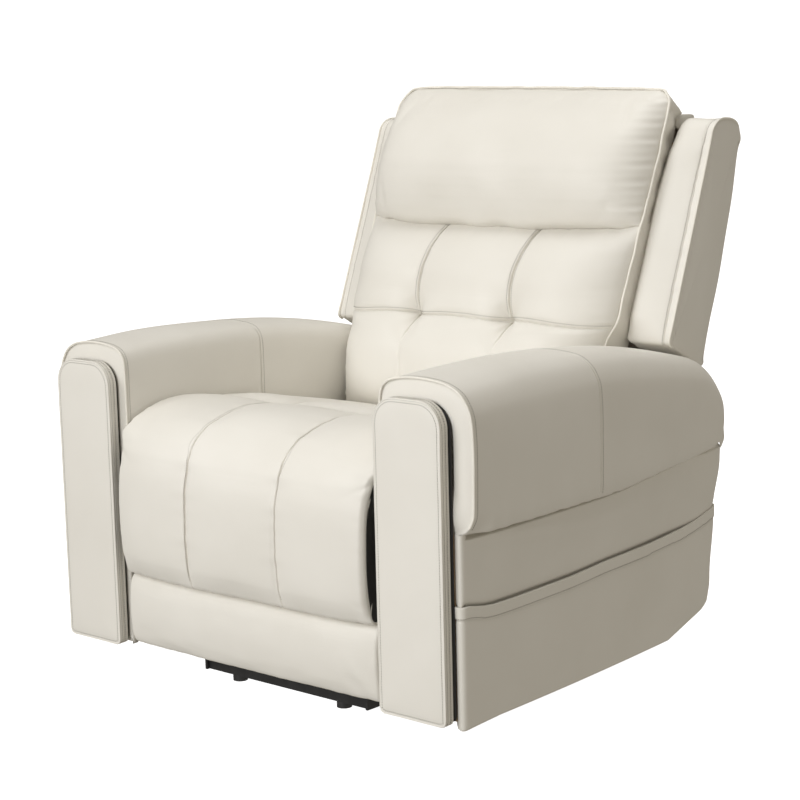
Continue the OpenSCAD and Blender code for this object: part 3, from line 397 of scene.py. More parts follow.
def metal_finish(name, base, worn, metallic, rough, fleck=60.0, depth=0.0003):
    """Powder coat, zinc or moulded plastic: flecked tone, uneven shine and fine pits."""
    finish, tree, shader, where = blank_finish(name)
    tone = mapped(tree, noise(tree, where, fleck, 5.0, y=300), 0.0, 1.0, y=300)
    tree.links.new(blended(tree, tone, base, worn), shader.inputs["Base Color"])
    tree.links.new(mapped(tree, noise(tree, where, fleck * 2.6, 3.0), *rough), shader.inputs["Roughness"])
    shader.inputs["Metallic"].default_value = metallic
    pits = noise(tree, where, 900.0, 3.0, y=-400)
    tree.links.new(bumped(tree, pits, 0.12, depth), shader.inputs["Normal"])
    return finish


def plywood_finish(name):
    """Birch ply: long grain, slightly uneven in tone and shine."""
    finish, tree, shader, where = blank_finish(name)
    stretch = put(tree, "ShaderNodeMapping", -1250, 300)
    stretch.inputs["Scale"].default_value = (60.0, 3.0, 18.0)
    tree.links.new(where, stretch.inputs["Vector"])
    figure = mapped(tree, noise(tree, stretch.outputs["Vector"], 1.6, 6.0, y=300), 0.0, 1.0, y=300)
    wood = blended(tree, figure, (0.62, 0.44, 0.26), (0.43, 0.28, 0.15))
    tree.links.new(wood, shader.inputs["Base Color"])
    tree.links.new(mapped(tree, noise(tree, where, 90.0, 2.0), 0.55, 0.7), shader.inputs["Roughness"])
    tree.links.new(bumped(tree, figure, 0.15, 0.0006), shader.inputs["Normal"])
    return finish


LIGHT, DEEP = (0.785, 0.760, 0.700), (0.745, 0.718, 0.655)
leather = leather_finish("leather", LIGHT, DEEP)
# Lighter copy of the leather for the piping and welts: the extra lightness is a painted highlight along the
# cords.
piping_highlight_leather = leather_finish("piping_highlight_leather", (0.82, 0.79, 0.715), (0.78, 0.75, 0.675), (0.40, 0.50))
# The thread's dark tone is painted shade: it stands in for the shadow in the needle holes along each row.
thread = leather_finish("thread", (0.26, 0.245, 0.21), (0.21, 0.2, 0.17), (0.55, 0.7))
powder_black = metal_finish("powder_black", (0.017, 0.017, 0.018), (0.03, 0.03, 0.031), 0.1,
                            (0.42, 0.58), 45.0)
zinc = metal_finish("zinc", (0.58, 0.58, 0.57), (0.42, 0.42, 0.41), 1.0, (0.28, 0.46), 30.0)
moulded = metal_finish("moulded_black", (0.022, 0.022, 0.023), (0.034, 0.034, 0.035), 0.0,
                       (0.5, 0.62), 80.0)
button_plastic = metal_finish("button_plastic", (0.36, 0.36, 0.35), (0.30, 0.30, 0.29), 0.0,
                              (0.42, 0.5), 90.0)
birch_ply = plywood_finish("birch_ply")
# Black cloth whose colour is painted shade: it stands in for the shadow in the gap behind each arm's front
# panel and in the seat cover's tucked-in ends.
painted_shade_cloth = leather_finish("painted_shade_cloth", (0.02, 0.02, 0.019), (0.03, 0.029, 0.027), (0.85, 0.95))


# ---------- stitches ----------
def stitch_row_tree():
    """Geometry nodes: a row of short thread humps, evenly spaced and lying along a line."""
    tree = bpy.data.node_groups.new("stitch_row", "GeometryNodeTree")
    face = tree.interface
    face.new_socket("Lines", in_out="INPUT", socket_type="NodeSocketGeometry")
    for label, value in (("Pitch", 0.005), ("Stitch length", 0.0035), ("Thread", 0.0009)):
        face.new_socket(label, in_out="INPUT", socket_type="NodeSocketFloat").default_value = value
    face.new_socket("Finish", in_out="INPUT", socket_type="NodeSocketMaterial")
    face.new_socket("Stitches", in_out="OUTPUT", socket_type="NodeSocketGeometry")
    given, out, curve, spaced, hump, size, shaped, tangent, turned, placed, real, finish = (
        tree.nodes.new(kind) for kind in (
            "NodeGroupInput", "NodeGroupOutput", "GeometryNodeMeshToCurve", "GeometryNodeResampleCurve",
            "GeometryNodeMeshUVSphere", "ShaderNodeCombineXYZ", "GeometryNodeTransform",
            "GeometryNodeInputTangent", "FunctionNodeAlignRotationToVector", "GeometryNodeInstanceOnPoints",
            "GeometryNodeRealizeInstances", "GeometryNodeSetMaterial"))
    spaced.mode = "LENGTH"
    turned.axis = "X"
    hump.inputs["Segments"].default_value, hump.inputs["Rings"].default_value = 6, 4
    hump.inputs["Radius"].default_value = 0.5
    for a, result, b, socket in (
            (given, "Lines", curve, "Mesh"), (curve, "Curve", spaced, "Curve"),
            (given, "Pitch", spaced, "Length"), (given, "Stitch length", size, "X"),
            (given, "Thread", size, "Y"), (given, "Thread", size, "Z"),
            (hump, "Mesh", shaped, "Geometry"), (size, "Vector", shaped, "Scale"),
            (tangent, "Tangent", turned, "Vector"), (spaced, "Curve", placed, "Points"),
            (shaped, "Geometry", placed, "Instance"), (turned, "Rotation", placed, "Rotation"),
            (placed, "Instances", real, "Geometry"), (real, "Geometry", finish, "Geometry"),
            (given, "Finish", finish, "Material"), (finish, "Geometry", out, "Stitches")):
        tree.links.new(a.outputs[result], b.inputs[socket])
    return tree


STITCH_ROW = stitch_row_tree()


def stitches(name, rows, pitch=4.2, long=2.5, thread_t=1.35):
    """Rows of thread along lines that already lie on the leather, as one plain mesh."""
    points, edges = [], []
    for row in rows:
        edges += [(len(points) + k, len(points) + k + 1) for k in range(len(row) - 1)]
        points += place(row).tolist()
    mesh = bpy.data.meshes.new(name)
    mesh.from_pydata(points, edges, [])
    lines = linked(name + "_lines", mesh)
    sewing = lines.modifiers.new("sewing", "NODES")
    sewing.node_group = STITCH_ROW
    sizes = {"Pitch": pitch * 0.001, "Stitch length": long * 0.001, "Thread": thread_t * 0.001,
             "Finish": thread}
    for socket in STITCH_ROW.interface.items_tree:
        if socket.in_out == "INPUT" and socket.name in sizes:
            sewing[socket.identifier] = sizes[socket.name]
    lines.update_tag()
    bpy.context.view_layer.update()
    ready = lines.evaluated_get(bpy.context.evaluated_depsgraph_get())
    sewn = bpy.data.meshes.new_from_object(ready)
    sewn.name = name
    sewn.shade_smooth()
    if not sewn.materials:
        sewn.materials.append(thread)
    bpy.data.objects.remove(lines)
    return linked(name, sewn)


def on_skin(grid, rows, columns):
    """Points of a finished skin, a hair above it."""
    return (grid + grid_normals(grid) * THREAD_LIFT)[rows, columns]


# ---------- arm ----------
def pad_top(y):
    y = np.asarray(y, float)
    return PAD_TOP - np.where(y < 220, 8.0 * ((220 - y) / 203) ** 2,
                              0.000067 * np.maximum(y - 220, 0) ** 2.2)


def turn_in(y):
    """How far an arm's outer side has curved in towards the chair's middle."""
    return 33.0 * (np.maximum(0.0, np.asarray(y, float) - 100) / (ARM_REAR - 100)) ** 1.8


def pad_rise(y):
    """How far the pad's lower edge has risen towards the rear."""
    return along_keys(y, [(400, 0), (461, 2), (559, 9), (669, 16), (739, 22), (795, 28)])


def hem_height(y):
    """Upper edge of the side pocket, slack at the front and rising at the rear."""
    return along_keys(y, [(0, 245), (42, 244.5), (58, 241), (80, 237), (103, 235), (148, 234.3), (241, 235),
                          (300, 235.5), (345, 237), (400, 239.5), (545, 241), (607, 243.5), (660, 246),
                          (700, 250), (720, 252.5), (770, 262), (795, 270)])


# The pad's section in x and z, and its front: share of the way to the middle, and how far back it lies.
ARM_SECTION = smooth_line([(298, 358), (298, 420), (298, 520), (298.6, 556), (302, 575), (312, 588),
                           (329, 595), (352, 598.6), (380, 600), (415, 597.5), (440, 592), (462, 580),
                           (477, 560), (484, 536), (486.5, 490), (486, 440), (485, 396), (484, 374),
                           (481, 361.5), (474, 356.6), (440, 356), (380, 356), (310, 356), (299, 357)],
                          8, closed=True)
CAP = [(0, 0), (0.03, 0.6), (0.07, -1.2), (0.14, -3.2), (0.22, -4.0), (0.30, -3.6), (0.36, -2.4),
       (0.41, -0.8), (0.46, 1.8), (0.52, 5.5), (0.58, 9), (0.66, 12), (1.0, 13)]


def arm_pad_grid(slim=0.0):
    """The arm's top pad: crowned section, cross seam, rolled rear end. slim narrows its front end."""
    section = even(ARM_SECTION, 191)[:-1]
    last = ARM_REAR - 1.0
    ys = crowded(PAD_FRONT, last, 160, marks=(PAD_FRONT, PAD_SEAM, last), width=14.0, pull=6.0)
    x0, z0 = section[:, 0][None], section[:, 1][None]
    y = ys[:, None]
    top = pad_top(y) - 1.4 * round_over(ARM_REAR - y, 90.0)
    z = PAD_LOW + (z0 - PAD_LOW) * (top - PAD_LOW) / (PAD_TOP - PAD_LOW)
    outer = np.clip((x0 - ARM_MIDDLE) / 94, 0, 1)
    inner = np.clip((ARM_MIDDLE - x0) / 94, 0, 1)
    edge = 1.2 * (1 - ease((y - PAD_FRONT) / 4.0)) + 12.0 * (1 - ease((ARM_REAR - y) / 26.0))
    x = x0 - outer * (turn_in(y) + edge) + inner * edge
    x = x - slim * bell(y - PAD_FRONT, 60) * outer
    low_corner = np.clip((394 - z0) / 37, 0, 1) ** 1.7 * np.clip((x0 - 440) / 20, 0, 1)
    x = x - 17.0 * bell(y - PAD_FRONT, 30) * low_corner
    z = z - np.clip((z0 - 500) / 100, 0, 1) * edge + np.clip((400 - z0) / 44, 0, 1) * edge * 0.6
    z = z + pad_rise(y) * ease((x0 - 440) / 20) * (1 - ease((z0 - PAD_LOW) / 60))
    z = z + 7.0 * ease((y - 768) / 24) * (1 - ease((z0 - PAD_LOW) / 30))
    ceiling = 398.0 + np.sqrt(np.maximum(160.0 ** 2 - (y - 640) ** 2, 0.0))
    z = np.where((x < 405) & (y > 660), np.minimum(z, ceiling), z)
    rear_tuck = 17.0 * ease((y - 725) / 65) * (1 - ease((z0 - PAD_LOW) / 150))
    grid = np.stack([x + 0 * y, y - rear_tuck, z], axis=2)
    height = -2.2 * bell(y - PAD_SEAM, 1.3) - 0.6 * bell(y - PAD_SEAM, 8.0) + 0.7 * bell(y - 358.3, 2.2)
    height = height * ease((z0 - 360) / 14)
    height = height + 0.8 * waves(y + 0 * x0, x + z, 11, short=110, long=300) * ease((y - 60) / 90)
    height = height + 0.35 * gathers(z + x, y - PAD_SEAM, 12, 30, 16) * ease((z0 - 375) / 30)
    height = height + 0.8 * gathers(y + 0 * x0, z - 362, 13, 52, 26) * np.clip((x - 440) / 30, 0, 1)
    return raised(grid, height), ys, section


def with_front_cap(grid):
    """Closes the first ring with smaller rings: a filled rim that falls back behind the front panel."""
    first = grid[0]
    middle = np.array([ARM_MIDDLE, 0.0, PAD_MIDDLE_Z])
    rings = []
    for k in crowded(0.02, 0.98, 34, (0.3,), 0.2, 2.0)[::-1]:
        ring = middle + (first - middle) * (1 - k)
        ring[:, 1] = first[:, 1] + along_keys(k, smooth_line(CAP, 5))
        rings.append(ring)
    return np.concatenate([np.array(rings), grid])


def side_low(y):
    """Lower edge of an arm's side, rising at its rear end."""
    return along_keys(y, [(14, 47), (60, 49.5), (115, 52), (613, 52), (727, 79), (755, 91), (776, 121),
                          (788, 162), (791, 195), (795, 200)])


def arm_path():
    """Plan of the arm's outer side, from behind its front panel round to its rear end."""
    ahead = [(437, 31), (446, 29), (451, 26.6), (455, 25.4), (457.8, 27), (459.1, 32), (SIDE_X, 46)]
    side = [(SIDE_X - float(turn_in(y)), y) for y in (70, 150, 300, 450, 560, 620, 670, 710, 745, 768)]
    rear = [(425, 779), (417.5, 786), (405, 789), (385, 788.5), (345, 786), (302, 784)]
    return smooth_line(ahead + side + rear, 24)


def side_sheet(plan, out, low_of, high, lift, thick, count, relief):
    """Closed sheet over a plan line: outer face with its relief, inner face behind it."""
    low = low_of(plan[:, 1])
    share = crowded(0, 1, count, marks=(0.97,), width=0.03, pull=5.0)
    z = low[:, None] + (high - low)[:, None] * share[None]
    x, y = plan[:, 0][:, None] + 0 * z, plan[:, 1][:, None] + 0 * z
    push = lift + relief(y, z)
    turned = 2.5 * (1 - ease(share / 0.012))[None] + 0 * z
    out_x, out_y = out[:, 0][:, None], out[:, 1][:, None]
    outer = np.stack([x + out_x * (push - turned), y + out_y * (push - turned), z], axis=2)
    inner = np.stack([x + out_x * (lift - thick), y + out_y * (lift - thick), z], axis=2)[:, ::-1]
    grid = np.concatenate([outer, inner], axis=1)
    grid[..., 1] -= 14.0 * ease((250 - grid[..., 2]) / 110) * ease((grid[..., 1] - 735) / 50)
    return grid


def outward(plan):
    out = inwards(plan, closed=False)
    return -out if out[len(out) // 2, 0] < 0 else out


def arm_side():
    """Outer side of an arm, from its lower edge up to the pad."""
    plan = even(arm_path(), 220)
    high = along_keys(plan[:, 1], [(20, 357.5), (50, 357.5), (90, 367), (120, 370)]) + pad_rise(plan[:, 1])

    def soft_folds(y, z):
        """Loose folds under the pad, flare at the rear, tucked in under the pad and behind the hem."""
        near = ease((y - 50) / 70) * ease((z - 262) / 30)
        fold = 2.2 * bell(z - 340 + 0.10 * (y - 140), 10) * bell(y - 190, 110) \
            + 1.8 * bell(z - 318 - 0.03 * (y - 420), 12) * bell(y - 430, 130) \
            - 1.2 * bell(z - 326 + 0.08 * (y - 150), 9) * bell(y - 220, 120)
        sag = 2.2 * np.sin(np.pi * np.clip((z - 244) / 112, 0, 1)) * ease((y - 60) / 80)
        ripple = 0.8 * waves(y, z, 21, short=90, long=260) * ease((y - 50) / 60)
        flare = 14.0 * ease((z - 262) / 100) * ease((y - 690) / 70)
        under_pad = (15.0 - 12.0 * ease((y - 700) / 50)) * ease((z - 346.8 - pad_rise(y)) / 3.0) \
            * ease((y - 34) / 20)
        behind_hem = (6.5 - 5.0 * ease((y - 600) / 120)) * ease((y - 26) / 10) \
            * np.exp(-np.maximum(z - hem_height(y), 0) / 4.0)
        puckers = 0.7 * gathers(y, z - PAD_LOW, 22, 66, 24) * ease((y - 60) / 80)
        return fold * near + sag + ripple + flare - (under_pad + behind_hem) - puckers
    return side_sheet(plan, outward(plan), side_low, high, 0.0, 16.0, 185, soft_folds)


def arm_pocket():
    """Full-length side pocket with a folded hem, and the row where the hem is sewn."""
    plan = even(arm_path(), 280)
    plan = plan[(plan[:, 0] > 444) | (plan[:, 1] > 60)]
    plan = plan[plan[:, 0] > 421]
    high = hem_height(plan[:, 1])

    def hem(y, z):
        """Band of the folded hem with its lower edge pressed in, gape behind it, slack below it."""
        down = hem_height(y) - z
        band = 1.3 * ease((HEM_DEEP - down) / 2.0) - 1.5 * bell(down - HEM_DEEP, 1.5) \
            - 1.2 * (1 - ease(down / 1.5))
        gape = 1.8 * np.exp(-down / 11.0) * bell(y - 300, 300)
        slack = 0.9 * waves(y, z, 31, short=120, long=320) * ease(down / 60) * ease((z - 60) / 40) \
            * ease((y - 40) / 60)
        return band + gape + slack
    out = outward(plan)
    levels = 130
    grid = side_sheet(plan, out, side_low, high, 2.3, 2.0, levels, hem)
    z_row = (high - HEM_DEEP + 3.0)[:, None]
    col = np.abs(grid[:, :levels, 2] - z_row).argmin(1)
    return grid, on_skin(grid, np.arange(len(plan)), col)[2:-2]


def arm_lining():
    """Upholstery on the arm's inner side, below the seat."""
    plan = even(smooth_line([(340, 26.5), (312, 26.3), (303, 26.6), (300.8, 29.5), (300.6, 40),
                             (300.6, 300), (300.6, 600), (301, 752)], 12), 150)
    out = -outward(plan)
    out = np.where((plan[:, 1] > 34)[:, None], np.array([[-1.0, 0.0]]), out)
    if out[0, 1] > 0:
        out[plan[:, 1] <= 34] *= -1

    def low(y):
        return along_keys(y, [(26, 57), (600, 58), (736, 118), (760, 158)])

    def ripple(y, z):
        return 0.5 * waves(y, z, 33, short=90, long=260)
    return side_sheet(plan, out, low, np.full(len(plan), PAD_LOW - 2.0), 0.0, 1.4, 40, ripple)


def rounded_outline(x0, z0, x1, z1, low_r, top_r, count=170):
    """Rectangle with one radius at its lower corners and another at its upper ones."""
    corners = [(x0 + low_r, z0 + low_r, low_r, 180), (x1 - low_r, z0 + low_r, low_r, 270),
               (x1 - top_r, z1 - top_r, top_r, 0), (x0 + top_r, z1 - top_r, top_r, 90)]
    line = []
    for cx, cz, r, begin in corners:
        for a in np.radians(np.linspace(begin, begin + 90, 16)):
            line.append((cx + r * math.cos(a), cz + r * math.sin(a)))
    return even(np.array(line + line[:1]), count + 1)[:-1]


# Rings of an arm's front panel from its rear to the middle of its face: depth, and how far in from the edge.
FRONT_STACK = [(26, 16), (20.6, 15), (20.2, 5), (19.9, 1.2), (19.0, 0.1), (13.4, 0.1), (12.5, 1.1),
               (11.6, 0.1), (8.0, -0.1), (5.6, -0.1), (3.4, 0.0), (2.5, 0.5), (1.8, -0.3), (0.7, -0.6),
               (-0.3, -0.2), (-0.7, 0.6), (-0.4, 1.4), (0.4, 2.0), (0.2, 3.2), (-0.4, 5.5), (-1.1, 9),
               (-1.8, 15), (-2.3, 24), (-2.6, 36), (-2.8, 50), (-2.9, 62)]
SEWN_RINGS = (9, 5, 19)
PANEL_X, PANEL_Z, PANEL_LOW_R, PANEL_TOP_R = (308, 443.5), (56, 563), 9, 42
# The black cloth behind an arm's front panel is painted shade: its dark colour stands in for the shadow in
# the gap.
GAP_X, GAP_Z, GAP_LOW_R, GAP_TOP_R = (312, 445.4), (60, 559), 8, 40
GAP_YS = (20.2, 21.0, 25.2, 25.6)       # the black cloth lies in the gap behind the panel


def front_panel_grid():
    """Padded board on the arm's front: gusset with its seam, beaded edge, lightly filled face."""
    rings = []
    for depth, inset in FRONT_STACK:
        line = rounded_outline(PANEL_X[0] + inset, PANEL_Z[0] + inset, PANEL_X[1] - inset, PANEL_Z[1] - inset,
                               max(PANEL_LOW_R - inset, 3), max(PANEL_TOP_R - inset, 3))
        ripple = 0.35 * waves(line[:, 0], line[:, 1], 41, short=60, long=180) if depth < 0.5 else 0.0
        rings.append(np.stack([line[:, 0], np.full(len(line), depth) + ripple, line[:, 1]], axis=1))
    return np.array(rings)


def front_gap_shade_sheet():
    """Black cloth in the gap between an arm's front panel and its side, dark to paint the shade of that gap.
    """
    rings = []
    for y, inset in zip(GAP_YS, (8, 0, 0, 8)):
        line = rounded_outline(GAP_X[0] + inset, GAP_Z[0] + inset, GAP_X[1] - inset, GAP_Z[1] - inset,
                               GAP_LOW_R, GAP_TOP_R)
        rings.append(np.stack([line[:, 0], np.full(len(line), y), line[:, 1]], axis=1))
    return np.array(rings)


def built_arm(side):
    """One arm. The far one's stuffing sits a little differently: its panel further out, its pad slimmer."""
    label, turn = sided(side)
    aside = np.array([0.0 if side > 0 else 4.5, 0.0, 0.0])
    pad, ys, section = arm_pad_grid(0.0 if side > 0 else 13.0)
    rows = []
    above_edge = section[:, 1] > PAD_LOW + 8
    order = np.roll(np.arange(len(section)), -int(np.where(~above_edge)[0].max()) - 1)
    order = order[above_edge[order]]
    for y in (PAD_FRONT + 6.5, PAD_SEAM + 5.5):
        i = int(np.abs(ys - y).argmin())
        rows.append(on_skin(pad, i, order))
    belongs(skin(label + "_arm_cushion", turn(with_front_cap(pad)), leather), "chair_frame",
            stands_for=[label + "_arm_pad"])
    belongs(skin(label + "_arm_side", turn(arm_side()), leather), "chair_frame",
            stands_for=[label + "_side_panel"])
    pocket, hem_row = arm_pocket()
    rows.append(hem_row)
    belongs(skin(label + "_arm_pocket", turn(pocket), leather), "chair_frame",
            stands_for=[label + "_pocket_panel"])
    belongs(skin(label + "_arm_lining", turn(arm_lining()), leather), "chair_frame")
    # Painted shade: a black sheet in the gap behind the front panel.
    belongs(skin(label + "_arm_front_gap_shade", turn(front_gap_shade_sheet() + aside), painted_shade_cloth), "chair_frame")
    panel = front_panel_grid() + aside
    for k in SEWN_RINGS:
        rows.append(on_skin(panel, k, np.r_[0:panel.shape[1], 0]))
    belongs(skin(label + "_arm_front", turn(panel), leather), "chair_frame",
            stands_for=[label + "_front_panel"])
    belongs(stitches(label + "_arm_stitches", [turn(r) for r in rows]), "chair_frame")
    welt = pad[2][order]
    welt[:, 1] = PAD_FRONT - ARM_WELT
    out = welt - np.array([ARM_MIDDLE, PAD_FRONT - ARM_WELT, PAD_MIDDLE_Z])
    out /= np.linalg.norm(out, axis=1, keepdims=True)
    cord = turn(even(welt + out * 0.1, 240))
    belongs(tube(label + "_arm_welt", cord, ARM_WELT, piping_highlight_leather), "chair_frame")


# ---------- seat and footrest ----------
# Side views of the cushions in y and z: _OUT is the upholstered face, _BACK the side that lies on the frame.
CHAISE_OUT = [(229, 466), (222, 476), (205, 482), (171, 487), (133, 488), (90, 482.5), (45, 468), (21, 454),
              (6, 439), (-5, 418), (-11, 398), (-17, 374), (-20.5, 344), (-22, 304), (-21.5, 270),
              (-18.5, 235), (-12, 207), (-3, 193.5), (18, 190.5)]
CHAISE_BACK = [(30, 190.5), (39, 192), (39, 250), (39, 392), (44, 424), (52, 432), (64, 424), (97, 403.5),
               (160, 397), (223, 388), (229, 392), (231, 440)]


def foot_half(y, z):
    """Half the footrest's width, drawn in at its seams."""
    return 295.5 - along_keys(z, [(63, 2), (80, 1), (175, 1), (190, 4), (204, 7), (230, 8), (395, 7),
                                  (430, 1), (440, 0)])


def chaise_half(y, z):
    """Half the width of the seat's front part, whose upper front corners swell outwards."""
    wide = 8.0 * ease((z - 424) / 18) * ease((26 - y) / 18)
    return np.minimum(foot_half(y, z), 295.5) + wide


def slab_grid(front, back, xs_half, half_of, edge, counts, marks_x, relief, retreat=0.0):
    """Cushion made of equal outlines in y and z, side by side across the chair, rounded at both ends.
    counts are the points along the face, along the back and across; retreat draws the ends back."""
    front_count, back_count, count_x = counts
    outer = smooth_line(front, 24)
    outer = at_lengths(outer, crowded(0, lengths(outer)[-1], front_count))
    inner = even(np.asarray(back, float), back_count)
    outline = np.concatenate([outer, inner])
    inward = inwards(outline)
    if ((outer - outline.mean(0)) * inward[:len(outer)]).sum() > 0:
        inward = -inward
    u = crowded(-xs_half, xs_half, count_x, marks=marks_x, width=6, pull=9)
    run = np.concatenate([lengths(outer), np.full(len(inner), -1.0)])
    on_front = (np.arange(len(outline)) < len(outer))[None]
    shrink = round_over(xs_half - np.abs(u), edge)[:, None] * np.where(on_front, 1.0, 0.12)
    shrink = shrink * (1 - 0.8 * bell(outline[:, 1] - FOOT_SEAM - 0.5, 14) * on_front)
    yz = outline[None] + inward[None] * shrink[..., None]
    ends = (np.abs(u[:, None]) / xs_half) ** 4
    near_front, top = ease((120 - yz[..., 0]) / 80), ease((yz[..., 1] - 425) / 40)
    y = yz[..., 0] + retreat * ends * on_front * near_front * (1 - 0.85 * top)
    x = u[:, None] * half_of(outline[:, 0], outline[:, 1])[None] / xs_half
    grid = np.stack([x, y, yz[..., 1]], axis=2)
    inside = np.clip((xs_half - np.abs(u)) / edge, 0, 1)[:, None]
    height = relief(x, y, yz[..., 1], run[None] + 0 * x, u[:, None] / xs_half)
    height = height * on_front * (0.25 + 0.75 * inside)
    sewn = np.where(on_front, bell(run[None], 14) + bell(run.max() - run[None], 14), 1.0)
    sewn = np.clip(sewn + bell(xs_half - np.abs(u), 16)[:, None], 0, 1)
    return grid, height, sewn


def panel_crown(x, channel, half):
    """0 on the channels and edges, 1 in the middle of the panels between them."""
    a = np.abs(x)
    mid = 1 - np.clip(a / channel, 0, 1) ** 2
    centre, width = (channel + half) / 2, (half - channel) / 2
    side = 1 - np.clip(np.abs(a - centre) / width, 0, 1) ** 2
    return np.where(a < channel, mid, side)


def chaise_relief(x, y, z, run, u):
    """Filled panels, sewn channels, gathers at the seams and one fold at each upper corner."""
    d = np.abs(x) - SEAT_CHANNEL
    h = 3.4 * panel_crown(x, SEAT_CHANNEL, 300.0) - 0.5 * bell(d, 8) - 4.2 * bell(d, 1.2)
    h = h * (0.25 + 0.75 * ease(run / 40)) * (0.35 + 0.65 * ease((z - 190) / 45))
    h = h + 0.7 * gathers(run, d, 51, 44, 16)
    h = h + 1.2 * waves(run, x, 52, short=120, long=320)
    low = np.maximum(z - FOOT_SEAM, 0)
    h = h + 0.7 * gathers(x, low, 53, 34, 16) * np.where(run > 400, 1, 0)
    h = h + 1.0 * gathers(x, run, 54, 40, 18)
    rim = SEAT_HALF - np.abs(x)
    h = h + 1.1 * gathers(run, rim, 55, 27, 8) * ease((run - 60) / 60)
    fold = (z - 418) + 0.5 * rim
    return h - 5.0 * bell(fold, 5) * np.exp(-rim / 13) * (run > 150) \
        - 3.0 * bell((z - 214) - 0.5 * rim, 5) * np.exp(-rim / 12) * (run > 300)


def finish_chaise():
    """Seat front and footrest under one cover, with black cloth on its ends that paints the shade of their
    tucked-in openings.
    """
    marks = (-SEAT_CHANNEL, SEAT_CHANNEL, -SEAT_HALF, SEAT_HALF)
    grid, height, held = slab_grid(CHAISE_OUT, CHAISE_BACK, SEAT_HALF, chaise_half, 8.0, (200, 70, 200),
                                   marks, chaise_relief, 12.0)
    held = np.clip(held + bell(np.abs(grid[..., 0]) - SEAT_CHANNEL, 7) * 0.9, 0, 1)
    grid = raised(grid + stuffed(grid, held, cap=5.0), height)
    cover = skin("chaise_cover", grid, leather)
    belongs(cover, None, stands_for=["seat_cushion", "footrest_pad"])
    rows = []
    top = on_skin(grid, np.arange(grid.shape[0])[:, None], np.arange(190)[None])
    for x in (-SEAT_CHANNEL - 4.5, SEAT_CHANNEL + 4.5):
        rows.append(top[int(np.abs(grid[:, 60, 0] - x).argmin()), 6:184])
    seams = stitches("chaise_stitches", rows, thread_t=0.7)
    belongs(seams, None)
    # The black cloth on each end of the cover is painted shade: it stands in for the dark, tucked-in openings
    # at the seat's ends.
    caps = []
    for label, ring, away in (("right", grid[0], -0.5), ("left", grid[-1], 0.5)):
        middle = ring.mean(0)
        cap = [middle + (ring - middle) * k + np.array([d, 0, 0])
               for k, d in ((0.985, -away), (0.985, away), (0.97, away))]
        caps.append(belongs(skin("chaise_end_shade_cloth_" + label, np.array(cap), painted_shade_cloth), None))
    a, b = place([(0, 73, 403), (0, 39, 392)])
    for piece in [cover, seams] + caps:
        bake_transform(piece)


SEAT_OUT = [(232, 400), (231, 440), (233, 462), (241, 472.5), (256, 475), (301, 468), (368, 454),
            (459, 436), (536, 419), (568, 409), (580, 398), (583, 388)]
SEAT_BACK = [(583, 364), (500, 367), (300, 384), (240, 389)]


def seat_relief(x, y, z, run, u):
    """Filled panels and channels of the rear seat cushion, gathered at its front edge."""
    d = np.abs(x) - SEAT_CHANNEL
    h = 4.0 * panel_crown(x, SEAT_CHANNEL, 300.0) - 1.0 * bell(d, 9) - 3.4 * bell(d, 1.5)
    return h * ease((y - 232) / 30) + 0.8 * waves(y, x, 61, short=90, long=260) \
        + 1.0 * gathers(x, y - 232, 62, 38, 24)


LOWER_OUT = [(30, 62), (17, 62.5), (9, 68), (4, 86), (1, 122), (2, 158), (6, 176), (12, 186), (20, 189.3)]
LOWER_BACK = [(39, 189.3), (39, 66)]


def lower_relief(x, y, z, run, u):
    """Low crown of the footrest's lower pad, puckered at its seams and its near lower corner."""
    middle = np.sin(np.pi * np.clip((z - 62) / 127, 0, 1))
    corner = bell(x - 258, 34) * bell(z - 92, 38)
    return 3.0 * middle * (1 - u ** 6) + 0.9 * waves(x, z, 71, short=110, long=300) \
        + 0.6 * gathers(x, 189 - z, 72, 37, 14) + 0.3 * gathers(x, z - 62, 73, 41, 14) \
        + 0.9 * corner * np.sin((x + 0.8 * z) / 7.5)


def finish_small_pads():
    """Rear seat cushion and the footrest's lower pad."""
    grid, height, held = slab_grid(SEAT_OUT, SEAT_BACK, 294.0, lambda y, z: SEAT_HALF + 0 * z, 12.0,
                                   (110, 40, 130), (-SEAT_CHANNEL, SEAT_CHANNEL, -294, 294), seat_relief)
    held = np.clip(held + bell(np.abs(grid[..., 0]) - SEAT_CHANNEL, 7) * 0.9, 0, 1)
    grid = raised(grid + stuffed(grid, held, cap=5.0), height)
    belongs(skin("rear_seat_cushion", grid, leather), "chair_frame")
    grid, height, held = slab_grid(LOWER_OUT, LOWER_BACK, 290.0, foot_half, 6.0, (100, 24, 190),
                                   (-290, 290), lower_relief, 9.0)
    grid = raised(grid + stuffed(grid, held, cap=1.5), height)
    belongs(skin("footrest_lower_panel", grid, leather), "footrest",
            stands_for=["footrest_lower_pad"])


# ---------- back ----------
def piped_y(z):
    """Depth of the back's piped edge."""
    return 715.0 + 0.40 * (z - SEAM_Z)


def wing_face(z):
    """Depth of a wing's front edge, and of the frame behind the cushions."""
    return 680.0 + 0.3876 * (z - 562.0)


def back_half(z):
    """Half the back's width: narrow between the arms, full at the pillow."""
    return BACK_HALF + along_keys(z, [(416, -40), (522, -24.5), (568, -24.5), (605, -11), (770, -5),
                                      (856, 0)])


# How far the back cushion stands out of its piping at each height.
SWELL = [(416, 22), (450, 52), (480, 70), (510, 80), (546, 87), (580, 85), (600, 80), (640, 72), (682, 73),
         (716, 62), (738, 46), (752, 31), (762, 18), (768, 9), (771, 1)]


def tuft_seam(x, half):
    """Height of the cross seam: it rises between the tufts and again beside them."""
    a = np.abs(x)
    out = np.clip((a - BACK_CHANNEL) / (half - BACK_CHANNEL), 0, 1)
    between = 8.0 * np.clip(1 - (a / BACK_CHANNEL) ** 2, 0, 1)
    beside = 9.0 * (out / 0.28) * np.exp(1 - out / 0.28) - 6.5 * out
    return TUFT_Z + np.where(a < BACK_CHANNEL, between, beside)


